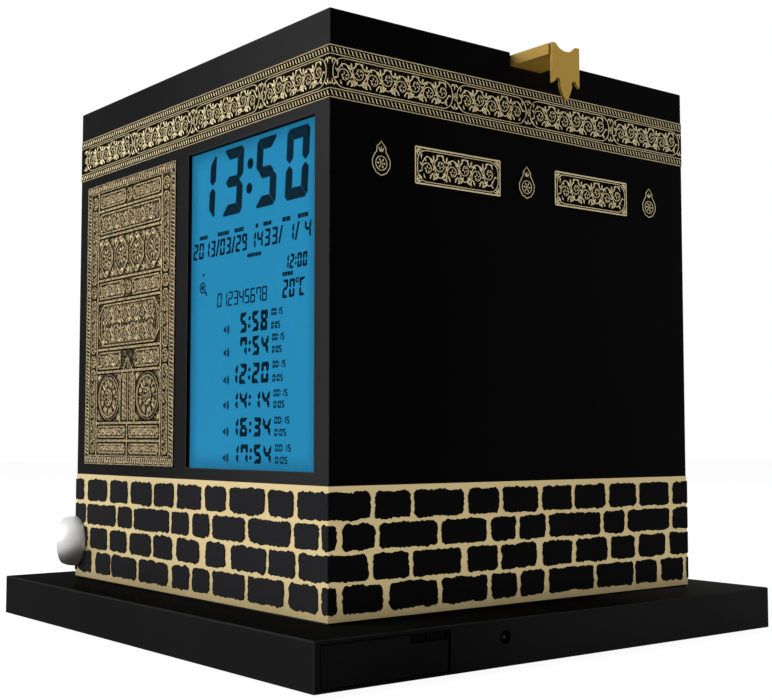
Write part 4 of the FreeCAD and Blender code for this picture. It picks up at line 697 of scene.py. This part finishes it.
def beltParts(half, breaks, look):
    bottom, top, line, lift = look["bottom"], look["top"], look["line"], look["lift"]
    rope = look["braidTall"]
    parts = []
    for side in (-1, 1):
        edge = bottom + look["edge"] if side < 0 else top - look["edge"]
        inner = edge - side*(rope + look["seam"])
        for level in (edge, inner):
            parts.append(straight((-half + 0.1, level), (half - 0.1, level), line, lift))
        base, crown = sorted((edge - side*0.5, inner + side*0.5))
        parts += braid(-half + 0.2, half - 0.2, base, crown, look["braidPitch"], look["braidLine"], lift)
    fieldLow, fieldHigh = bottom + rope + look["field"], top - rope - look["field"]
    middle, tall = (fieldLow + fieldHigh)/2, fieldHigh - fieldLow
    for left, right in zip(breaks, breaks[1:]):
        box = (left, right, fieldLow, fieldHigh)
        parts.append(roundedLine(*drawnIn(box, *look["frameIn"]), tall*0.44, line, lift))
        parts += vine(*drawnIn(box, *look["vineIn"]), look["vinePitch"], look["vineLine"], lift)
    for place in breaks:
        for side in (-1, 1):
            root = (min(max(place, -half + 1), half - 1), middle + side*tall*0.46)
            parts += spray(root, -90*side, (-52, 0, 52), tall*0.2, 0.6, lift)
        if abs(place) < half - 2:
            parts += blossom((place, middle), *look["flower"], lift)
    for points, _ in parts:                         # nothing stands past the corner
        points[:, 0] = np.clip(points[:, 0], -half + 0.05, half - 0.05)
    return parts


for faceName, face in faces.items():
    parts = beltParts(face["half"], beltLook["breaks"][faceName], beltLook)
    makePiece("belt_ornament_" + faceName, face, parts, "goldLine")
print("belts dressed")


stoneLook = {
    "lift": (-0.05, 0.3), "bevel": 0.18, "corner": 1.25, "shake": 0.42, "spacing": 0.72, "grow": 0.05,
    "wrap": 0.28, "fade": 1.5, "least": 0.8, "rows": ((29.7, 37.6), (20.9, 28.3), (11.9, 19.5), (2.8, 10.5)),
    "seeds": {"front": 11, "right": 23, "back": 37, "left": 51},
    "cornerStones": ((13, 9.5), (9, 13), (14, 10), (8, 12)), "widths": (11.5, 14, 16, 20, 23),
    "front": (
        (-82.6, -76.6, -72.8, -57.1, -54.3, -40.9, -38, -22.5, -20.7, -7.1, -4.3, 11.2, 14.1, 26.9, 29.4,
         49.7, 51.8, 65.3, 67.6, 84),
        (-84, -74.7, -73, -50.1, -48, -37.2, -35.4, -9.9, -8, 3.4, 6.1, 16.9, 19, 38.4, 40.6, 63.8, 66, 78.2,
         80.1, 84),
        (-84, -72.9, -70.4, -56.4, -54, -41.2, -38.2, -22.8, -20.7, -7.7, -4.4, 10.3, 14.6, 26.9, 30.6, 50.7,
         52.3, 66.3, 68.5, 84),
        (-84, -81.9, -80, -69.4, -65.5, -53.7, -52.4, -33.5, -31.4, -10.6, -7.2, 4, 6.3, 17, 19.4, 38.4,
         40.7, 60.3, 63.2, 78, 80.1, 84),
    ),
    "right": (
        (-81, -64.8, -62.9, -49.6, -48.1, -28.3, -26, -13.2, -11.2, 4.3, 6.6, 20, 21.8, 36.7, 38.8, 52.3,
         54.4, 69.9, 72.4, 81),
        (-81, -77.2, -75, -63.2, -61.3, -39, -37, -18.6, -16.4, -5.8, -3.9, 7.8, 9.6, 33.9, 35.9, 46.2, 48.2,
         69.9, 72.2, 81),
        (-81, -65.8, -63.7, -50.2, -48.4, -29.4, -26.5, -13.8, -11.9, 3.3, 6.3, 20, 22.3, 37.4, 39.5, 51.4,
         53.8, 67.4, 70.3, 81),
        (-81, -77, -75, -60.2, -57.7, -39, -37, -18.5, -16.4, -5.6, -3.7, 6.9, 9.4, 30.3, 32.3, 50.4, 51.9,
         62.9, 65.7, 77.3, 79.3, 81),
    ),
}


def plainCourse(half, wrapStart, wrapEnd, widths, rng):
    # edges of one row on a face with no set pattern: widths wander, the corner stones keep their length
    edges = [-half - 1, -half + wrapStart]
    while edges[-1] < half - wrapEnd - 24:
        start = edges[-1] + rng.uniform(1.7, 2.6)
        edges += [start, start + rng.choice(widths)*rng.uniform(0.94, 1.06)]
    room = half - wrapEnd - 2 - edges[-1]
    if room > 6:
        edges += [edges[-1] + 2, half - wrapEnd - 2]
    else:
        edges[-1] = half - wrapEnd - 2
    return edges + [half - wrapEnd, half + 1]


def stoneOutline(left, right, bottom, top, half, look, rng):
    # a box with round corners walked at even steps; each point is pushed in or out by slow and fast noise
    wrapLeft, wrapRight = left < -half, right > half
    left, right = max(left, -half - look["wrap"]), min(right, half + look["wrap"])
    corner = min(look["corner"]*rng.uniform(0.6, 1.5), (right - left)/2.2, (top - bottom)/2.6)
    runs = []
    for sx, sy, start in ((1, 1, 0), (-1, 1, 90), (-1, -1, 180), (1, -1, 270)):
        size = 0.02 if (wrapRight if sx > 0 else wrapLeft) else corner
        middle = ((right if sx > 0 else left) - sx*size, (top if sy > 0 else bottom) - sy*size)
        runs.append(arcPath(middle, size, start, start + 90, 5))
    raw = np.vstack(runs + [runs[0][:1]])
    length = np.concatenate(([0], np.cumsum(np.hypot(*np.diff(raw, axis=0).T))))
    count = max(12, int(length[-1]/look["spacing"]))
    at = np.linspace(0, length[-1], count, endpoint=False)
    path = np.column_stack((np.interp(at, length, raw[:, 0]), np.interp(at, length, raw[:, 1])))
    along = unitAlong(np.roll(path, -1, axis=0) - np.roll(path, 1, axis=0))
    outward = np.column_stack((along[:, 1], -along[:, 0]))
    phase = 2*np.pi*at/length[-1]
    push = sum(rng.normal(0, 0.5/(1 + 0.1*k))*np.sin(k*phase + rng.uniform(0, 6.28))
               for k in (2, 3, 5, 7, 9, 12, 15))
    push = look["shake"]*(0.5*push + rng.uniform(-0.5, 0.7, count)) + look["grow"]
    fade = 1.0                                      # the wrapped ends stay straight
    for wrapped, end in ((wrapLeft, left), (wrapRight, right)):
        if wrapped:
            fade = np.minimum(fade, np.clip(np.abs(path[:, 0] - end)/look["fade"], 0, 1))
    return path + outward*(push*fade)[:, None]


def courseParts(faceName, half, look):
    rng = np.random.default_rng(look["seeds"][faceName])
    parts = []
    for index, (bottom, top) in enumerate(look["rows"]):
        if faceName in look:
            edges = look[faceName][index]
        else:
            edges = plainCourse(half, *look["cornerStones"][index], look["widths"], rng)
        for left, right in zip(edges[::2], edges[1::2]):
            if right - left > look["least"]:
                outline = stoneOutline(left, right, bottom, top, half, look, rng)
                parts.append(plate(outline, look["lift"], look["bevel"]))
    return parts


for faceName, face in faces.items():
    parts = courseParts(faceName, face["half"], stoneLook)
    makePiece("stone_courses_" + faceName, face, parts, "stoneFace")
print("stone courses laid")


doorLook = {
    "left": -75.7, "right": -7.2, "bottom": 43.4, "top": 149.6, "border": 3.6, "column": 6.3, "rail": 0.8,
    "rails": (8.5, 15, 34, 42.5, 60.4, 68.7, 85.2, 95.2), "medal": 2.3, "edge": 0.3, "inset": 1.45,
    "rows": ("foot", "sill", "rosettes", "arch", "cartouche", "plaque", "arcade", "lintel", "head"),
    "medals": ("arch", "plaque", "head"),           # rows with medallions, the lowest only in the columns
    "line": 0.3, "vineLine": 0.42, "lift": (0.08, 0.34), "borderLift": (0.38, 0.52),
    "enamelLift": (0.08, 0.36), "ropePitch": 1.4, "ropeLine": 0.44, "ropeGap": 0.75, "groove": 0.55,
    # scrolls on both sides of the middle: the row, its gap there and the pitch
    "scrolls": (("foot", 0.7, 3.6), ("sill", 0.7, 4.4), ("arch", 4.8, 5), ("plaque", 2.3, 4.8),
                ("head", 2.3, 4.6)),
    "frameIn": (2.6, 1.9), "frameCorner": 5.5, "widePitch": 6.2,
    "rosetteAt": 15, "rosette": 8.3, "petals": 16, "petal": (3.2, 0.62, -34), "grooveRing": 9.05,
    # flowers by radius, petals and line; sprays by turns, length and width
    "arcadeFlower": (3.4, 9, 0.36), "medalFlower": (1.8, 6, 0.3), "chainFlower": (1.7, 5, 0.3),
    "rosetteFlower": (2.9, 8, 0.34), "arcadeRing": 4.1, "chainPitch": 4.4,
    "arcadeSpray": ((-34, 0, 34), 2.3, 0.7), "arcadeCorner": ((-30, 0, 30), 3, 0.62),
    "rosetteCorner": ((-38, -13, 13, 38), 2.5, 0.5),
}


def doorPlan(look):
    # what the sizes give: the rows' heights, the middles of the medallions, the spans of a column between
    # them, and the places across
    left, right, border, rail = look["left"], look["right"], look["border"], look["rail"]
    levels = [look["bottom"] + border - rail] + [look["bottom"] + level for level in look["rails"]]
    levels.append(look["top"] - border)
    rows = {name: (levels[n] + rail, levels[n + 1]) for n, name in enumerate(look["rows"])}
    column, inner = look["column"], (look["column"] - rail)/2
    medals = [sum(rows[name])/2 for name in look["medals"]]
    starts = [look["bottom"] + border] + [level + look["medal"] for level in medals]
    spans = [(start, level - look["medal"]) for start, level in zip(starts, medals)]
    return {"rows": rows, "medals": medals, "spans": spans,
            "mid": (left + right)/2, "west": left + border + column, "east": right - border - column,
            "columns": (left + border + inner, right - border - inner)}


def borderParts(look):
    # two fine lines and a rope between them on the raised edge
    left, right, bottom, top = look["left"], look["right"], look["bottom"], look["top"]
    border, edge, gap = look["border"], look["edge"], look["ropeGap"]
    rope = (look["ropePitch"], look["ropeLine"], look["borderLift"])
    box, parts = (left, right, bottom, top), []
    for frame in (drawnIn(box, edge, edge), drawnIn(drawnIn(box, border, border), -edge, -edge)):
        parts += boxLine(*frame, look["line"], look["borderLift"])
    for base, crown in ((bottom + gap, bottom + border - gap), (top - border + gap, top - gap)):
        parts += braid(left + 0.5, right - 0.5, base, crown, *rope)
    for near, far in ((left + gap, left + border - gap), (right - border + gap, right - gap)):
        parts += braid(near, far, bottom + border, top - border, *rope, upright=True)
    return parts


def scrollParts(look, plan):
    line, lift, inset = look["vineLine"], look["lift"], look["inset"]
    mid, west, east = plan["mid"], plan["west"], plan["east"]
    parts = []
    for name, gap, pitch in (*look["scrolls"], ("lintel", 0, look["widePitch"])):
        base, crown = plan["rows"][name]
        for start, end in ((west, mid - gap), (mid + gap, east)) if gap else ((west, east),):
            parts += vine(*drawnIn((start, end, base, crown), inset, inset), pitch, line, lift)
    base, crown = plan["rows"]["cartouche"]         # two scrolls over each other in a rounded frame
    middle = (base + crown)/2
    for low, high in ((base + 1.5, middle), (middle, crown - 1.5)):
        parts += vine(west + 4.5, east - 4.5, low, high, look["widePitch"], line, lift)
    frame = drawnIn((west, east, base, crown), *look["frameIn"])
    parts.append(roundedLine(*frame, look["frameCorner"], look["line"], lift))
    return parts


def arcadeParts(look, plan):
    # a ringed flower in each of four bays, with sprays over, under and in the corners
    lift = look["lift"]
    base, crown = plan["rows"]["arcade"]
    bay, middle = (plan["east"] - plan["west"])/4, (base + crown)/2
    parts = []
    for n in range(4):
        x = plan["west"] + bay*(n + 0.5)
        parts += blossom((x, middle), *look["arcadeFlower"], lift)
        parts.append(ringLine((x, middle), look["arcadeRing"], look["line"], lift))
        for side in (-1, 1):
            parts += spray((x, middle + side*4.3), 90*side, *look["arcadeSpray"], lift)
            for rise in (-1, 1):
                corner = (x + side*(bay/2 - 0.3), middle + rise*(crown - base)*0.46)
                parts += spray(corner, (-side, -rise), *look["arcadeCorner"], lift)
    return parts


def columnParts(look, plan):
    # medallions on the middle line and in the columns, and a chain of flowers between those of a column
    lift, medals = look["lift"], plan["medals"]
    spots = [(plan["mid"], z) for z in medals[1:]] + [(x, z) for x in plan["columns"] for z in medals]
    parts = []
    for spot in spots:
        parts += blossom(spot, *look["medalFlower"], lift)
    for x in plan["columns"]:
        for start, end in plan["spans"]:
            cells = max(2, round((end - start)/look["chainPitch"]))
            for n in range(cells):
                z = start + (end - start)*(n + 0.5)/cells
                parts += blossom((x, z), *look["chainFlower"], lift)
                for side in (-1, 1):
                    parts.append(leaf((x + side*0.5, z + 2.0), 90 - side*50, 1.5, 0.5, side*40, lift))
    return parts


def rosetteParts(look, plan):
    # a flower, a wreath of bent petals, a ring and four corner sprays to each
    lift = look["lift"]
    base, crown = plan["rows"]["rosettes"]
    parts = []
    for side in (-1, 1):
        spot = (plan["mid"] + side*look["rosetteAt"], (base + crown)/2)
        parts += blossom(spot, *look["rosetteFlower"], lift)
        for n in range(look["petals"]):
            heading = 360/look["petals"]*n
            parts.append(leaf(polar(spot, 3.5, heading), heading + 18, *look["petal"], lift))
        parts.append(ringLine(spot, look["rosette"], look["line"], lift, 40))
        for sx in (-1, 1):
            for sy in (-1, 1):
                corner = (spot[0] + sx*8.7, spot[1] + sy*8.6)
                parts += spray(corner, (-sx, -sy), *look["rosetteCorner"], lift)
    return parts


def archParts(look, plan):
    # a scroll that climbs on each side of the seam, close to it above the rosettes
    mid, lift = plan["mid"], look["lift"]
    base = plan["rows"]["rosettes"][0]
    parts = []
    for side in (-1, 1):
        for n in range(9):
            z = base + 1.6 + 2.15*n
            reach, out = (1.7, 2.6) if z < 76 else (1.1, 1.8)
            spot = (mid + side*out, z)
            parts.append(ribbon(arcPath(spot, reach*0.6, 90, 90 + side*300, 12), look["vineLine"]*0.9, lift))
            parts.append(leaf(spot, 90 - side*40, reach*0.9, 0.5, 30, lift))
            parts.append(leaf((spot[0] + side*1.3, z), 90 + side*10, reach, 0.45, -40*side, lift))
    parts.append(straight((mid, base), (mid, plan["rows"]["arch"][1] - 3.4), look["line"], lift))
    return parts


def shadeLineParts(look, plan):
    # dark lines of painted shade: under every rail, round the rosettes and medallions, and as long ovals in
    # the columns
    west, east = plan["west"] + 0.1, plan["east"] - 0.1
    width, lift, edge = look["groove"], look["enamelLift"], look["edge"]
    parts = []
    for name, (base, crown) in plan["rows"].items():
        if name != "foot":
            parts.append(straight((west, base + edge), (east, base + edge), width, lift))
        parts.append(straight((west, crown - edge), (east, crown - edge), width*0.7, lift))
    for side in (-1, 1):
        spot = (plan["mid"] + side*look["rosetteAt"], sum(plan["rows"]["rosettes"])/2)
        parts.append(ringLine(spot, look["grooveRing"], width, lift, 40))
    for x in plan["columns"]:
        for start, end in plan["spans"]:
            parts.append(roundedLine(x - 2.4, x + 2.4, start + 0.4, end - 0.4, 2.3, width, lift))
        for level in plan["medals"]:
            parts.append(ringLine((x, level), look["medal"] + edge, width, lift))
    return parts


doorHas = doorPlan(doorLook)
doorGold = borderParts(doorLook)
for build in (scrollParts, arcadeParts, columnParts, rosetteParts, archParts):
    doorGold += build(doorLook, doorHas)
makePiece("door_ornament", faces["front"], doorGold, "doorLine")
# the door's dark lines are painted shade of its relief
makePiece("door_enamel", faces["front"], shadeLineParts(doorLook, doorHas), "beltGround")
print("door dressed")


panelLook = {"bottom": 131.2, "top": 143.2, "line": 0.34, "vineLine": 0.4, "pitch": 5.4, "lift": (0.38, 0.52),
             "edgeIn": (0.35, 0.35), "edgeLine": 0.55, "frameIn": (1.2, 1.1), "frameCorner": 3.6,
             "vineIn": (2.6, 1.7), "corner": ((-30, 0, 30), 2.2, 0.6),
             "ends": {"side_panel_front": (-48.0, -11.8), "side_panel_rear": (13.0, 49.2)}}
dropLook = {"bottom": 131.6, "tall": 11.4, "line": 0.34, "lift": (0.38, 0.52),
            "flower": (1.6, 6, 0.3), "spray": ((-32, 0, 32), 1.9, 0.5),
            "middles": {"side_drop_front": -61, "side_drop_middle": 0, "side_drop_rear": 61},
            "half": ((0, 0.045), (0.5, 0.12), (0.82, 0.28), (0.86, 0.44), (0.62, 0.6), (0.44, 0.68),
                     (0.42, 0.8), (0, 0.955))}


def panelParts(left, right, look):
    bottom, top, lift = look["bottom"], look["top"], look["lift"]
    box = (left, right, bottom, top)
    parts = boxLine(*drawnIn(box, *look["edgeIn"]), look["edgeLine"], lift)
    parts.append(roundedLine(*drawnIn(box, *look["frameIn"]), look["frameCorner"], look["line"], lift))
    parts += vine(*drawnIn(box, *look["vineIn"]), look["pitch"], look["vineLine"], lift)
    for sx, x in ((1, left + 0.7), (-1, right - 0.7)):
        for sy, z in ((1, bottom + 0.7), (-1, top - 0.7)):
            parts += spray((x, z), (sx, sy), *look["corner"], lift)
    return parts


def dropParts(middle, look):
    # the drop's own outline a little way in, a ring and a small spray
    z, tall, line, lift = look["bottom"], look["tall"], look["line"], look["lift"]
    right = np.array(look["half"])*(4, tall)
    path = np.vstack((right, right[-2::-1]*(-1, 1))) + np.array((middle, z))
    eye = (middle, z + tall*0.37)
    parts = [ribbon(path, line, lift), ringLine(eye, 2.15, line*0.9, lift, 20)]
    parts += blossom(eye, *look["flower"], lift)
    return parts + spray((middle, z + tall*0.64), 90, *look["spray"], lift)


for plateName, ends in panelLook["ends"].items():
    makePiece(plateName + "_ornament", faces["right"], panelParts(*ends, panelLook), "goldLine")
for plateName, middle in dropLook["middles"].items():
    makePiece(plateName + "_ornament", faces["right"], dropParts(middle, dropLook), "goldLine")
print("side plates dressed")


# the strokes of each figure: a top, b and c right, d foot, e and f left, g middle
strokesOf = {"0": "abcdef", "1": "bc", "2": "abdeg", "3": "abcdg", "4": "bcfg", "5": "acdfg", "6": "acdefg",
             "7": "abcf", "8": "abcdefg", "9": "abcdfg", "C": "adef"}
shares = {":": 0.42, "/": 0.62, " ": 0.55, "*": 0.5}    # of a full figure's width

# the layout is drawn for the plane of the wall, then drawn out and shifted to the glass behind it
inkLook = {
    "lift": (-1.86, -1.76), "bevel": 0.005, "slant": 0.07, "stretch": 1.0081, "shift": (-3.14, -0.44),
    "seals": ((2.4, 3.5, 43, 149.6), (2.4, 78.6, 148.7, 149.6)),    # dark strips along the left and top edges of the glass
    "hour": {"bottom": 125.4, "tall": 21.8, "thick": 3.6, "colon": 39.2, "dots": (132.5, 140.4), "dot": 1.75,
             "marks": (("1", 8.8, 9.4), ("3", 22.9, 12.2), ("5", 42.9, 11.7), ("0", 59.8, 12.1))},
    "lines": (                                      # text, left, right, bottom, top, thickness
        ("2013/03/29", 4.5, 39.1, 112.9, 118.3, 0.92), ("1433/ 1/ 4", 39.7, 74.5, 112.9, 118.3, 0.92),
        ("12:00", 59.5, 72.4, 104.5, 108.9, 0.82), ("20*C", 58.4, 71.4, 95.8, 101.4, 0.92),
        ("012345678", 20.2, 50.7, 95.9, 100.5, 0.55)),
    "rows": (("5:58", 34.1, 51.4, 86.7, 93.1), ("7:54", 34.1, 51.9, 79.2, 85.3),
             ("12:20", 28.6, 52.2, 70.4, 76.9), ("14:14", 28.7, 52.8, 62.3, 68.1),
             ("16:34", 28.9, 53.4, 53.8, 59.8), ("17:54", 29.3, 53.8, 45.4, 51.4)),
    "rowThick": 1.42, "smallThick": 0.46, "smallTall": 2.2, "blockGap": 0.28,
    "blocks": (                                     # left, bottom, height, widths
        (9, 119.3, 1.35, (0.7, 1.3, 1, 1.2)), (20.6, 119.3, 1.35, (1.2, 1.4, 0.9, 1.3, 1)),
        (31, 119.3, 1.35, (1.1, 1, 1.3, 1.2)), (43.6, 119.3, 1.35, (1.4,)), (48, 119.3, 1.35, (2.6, 1.6)),
        (58.6, 119.3, 1.35, (1.8, 2.2)), (67, 119.3, 1.35, (1.6, 1.2, 2)),
        (38.8, 110.4, 1.2, (1.2, 1.8, 1.1, 1.6, 1.2)), (58.8, 102.5, 1.25, (1.2, 1.2, 1.4, 1))),
    "dot": ((11.7, 107.5), 0.55), "search": (11.2, 103.2), "searchRadii": (1.9, 1.45, 0.85),
    "handle": ((13.7, 100.3), (14.2, 100.8), (12.9, 102.1), (12.4, 101.6)),
}


def ink(outline, look):
    return plate(outline, look["lift"], look["bevel"])


def inkBox(left, right, bottom, top, look):
    return ink(((left, bottom), (right, bottom), (right, top), (left, top)), look)


def arcBand(middle, outer, inner, end, count, start=0):
    # the outline of a strip along an arc: out along the outer radius, back along the inner one
    return np.vstack((arcPath(middle, outer, start, end, count), arcPath(middle, inner, end, start, count)))


def strokeShape(name, wide, tall, thick):
    # one stroke in a cell with its foot at the origin: cut outer corners, slanting joints, pointed ends at
    # mid height
    cut, hair, half, nose = 0.36*thick, 0.03*thick, tall/2, 0.42*thick
    if name == "g":
        shape = [(thick*0.5, half), (thick, half + thick/2), (wide - thick, half + thick/2),
                 (wide - thick*0.5, half), (wide - thick, half - thick/2), (thick, half - thick/2)]
    elif name in "ad":
        shape = [(cut, tall), (cut/2 + hair, tall - cut/2), (thick + hair, tall - thick),
                 (wide - thick - hair, tall - thick), (wide - cut/2 - hair, tall - cut/2), (wide - cut, tall)]
    else:
        shape = [(cut/2, tall - cut/2 - hair), (0, tall - cut), (0, half + nose + 3*hair),
                 (thick/2, half + 3*hair), (thick, half + nose + 3*hair), (thick, tall - thick - hair)]
    shape = np.array(shape)
    if name in "bc":
        shape[:, 0] = wide - shape[:, 0]
    if name in "cde":
        shape[:, 1] = tall - shape[:, 1]
    ahead = np.roll(shape, -1, axis=0)
    area = np.sum(shape[:, 0]*ahead[:, 1] - ahead[:, 0]*shape[:, 1])
    return shape if area > 0 else shape[::-1]


def figure(mark, left, bottom, wide, tall, thick, look):
    if mark in strokesOf:
        shapes = [strokeShape(stroke, wide, tall, thick) for stroke in strokesOf[mark]]
    elif mark == ":":
        shapes = [arcPath((wide/2, tall*rise), thick*0.48, 0, 342, 20) for rise in (0.3, 0.68)]
    elif mark == "/":
        shapes = [np.array(((0, 0), (thick, 0), (wide, tall), (wide - thick, tall)))]
    elif mark == "*":                               # the small ring of a degree sign
        shapes = [arcBand((wide/2, tall*0.88), thick*0.95, thick*0.45, 350, 14)]
    else:
        shapes = []
    parts = []
    for shape in shapes:
        shape = shape + np.array((left, bottom))
        shape[:, 0] += (shape[:, 1] - bottom)*look["slant"]
        parts.append(ink(shape, look))
    return parts


def figureRow(text, left, right, bottom, top, thick, look):
    # figures set side by side so that the whole line runs from left to right; each gets its share
    lean = (top - bottom)*look["slant"]
    unit = (right - left - lean)/sum(shares.get(mark, 1) for mark in text)
    parts, at = [], left
    for mark in text:
        share = shares.get(mark, 1)
        gap = 0.2*unit if share == 1 else 0.06*unit
        parts += figure(mark, at + gap/2, bottom, share*unit - gap, top - bottom, thick, look)
        at += share*unit
    return parts


def soundMark(left, middle, size, look):
    # a small horn and two arcs
    horn = np.array(((0, -0.18), (0.22, -0.18), (0.5, -0.45), (0.5, 0.45), (0.22, 0.18), (0, 0.18)))*size
    mouth = (left + 0.5*size, middle)
    return [ink(horn + np.array((left, middle)), look)] + [
        ink(arcBand(mouth, radius*size + 0.18*size, radius*size, 48, 8, -48), look) for radius in (0.3, 0.6)]


def displayParts(look):
    hour = look["hour"]
    parts = []
    for mark, left, wide in hour["marks"]:
        parts += figure(mark, left, hour["bottom"], wide, hour["tall"], hour["thick"], look)
    for z in hour["dots"]:
        spot = (hour["colon"] + (z - hour["bottom"])*look["slant"], z)
        parts.append(ink(arcPath(spot, hour["dot"], 0, 342, 20), look))
    for line in look["lines"]:
        parts += figureRow(*line, look)
    for n, (text, left, right, bottom, top) in enumerate(look["rows"]):
        parts += figureRow(text, left, right, bottom, top, look["rowThick"], look)
        parts += soundMark(24.9, bottom + 1.6, 2.7, look)
        start = right + 1.2
        for rise, numbers, share in ((top - bottom - 2.1, "00:15", 1), (0.2, "0:05", 0.8)):
            foot = bottom + rise
            parts += figureRow(numbers, start, start + (6.6 + 0.5*n)*share, foot, foot + look["smallTall"],
                               look["smallThick"], look)
    for at, bottom, tall, widths in look["blocks"]:     # plain blocks where a real display has small words
        for width in widths:
            parts.append(inkBox(at, at + width, bottom, bottom + tall, look))
            at += width + look["blockGap"]
    parts += [inkBox(*darkStrip, look) for darkStrip in look["seals"]]
    spot, radius = look["dot"]                      # a dot, and a ring with a handle below it
    parts.append(ink(arcPath(spot, radius, 0, 330, 12), look))
    outer, inner, eye = look["searchRadii"]
    parts.append(plate(arcBand(look["search"], outer, inner, 350, 26), look["lift"], 0.003))
    parts.append(ink(arcPath(look["search"], eye, 0, 330, 12), look))
    parts.append(ink(look["handle"], look))
    for points, _ in parts:
        points[:, :2] = points[:, :2]*look["stretch"] + look["shift"]
    return parts


makePiece("display_figures", faces["front"], displayParts(inkLook), "segmentInk")
print("display written")
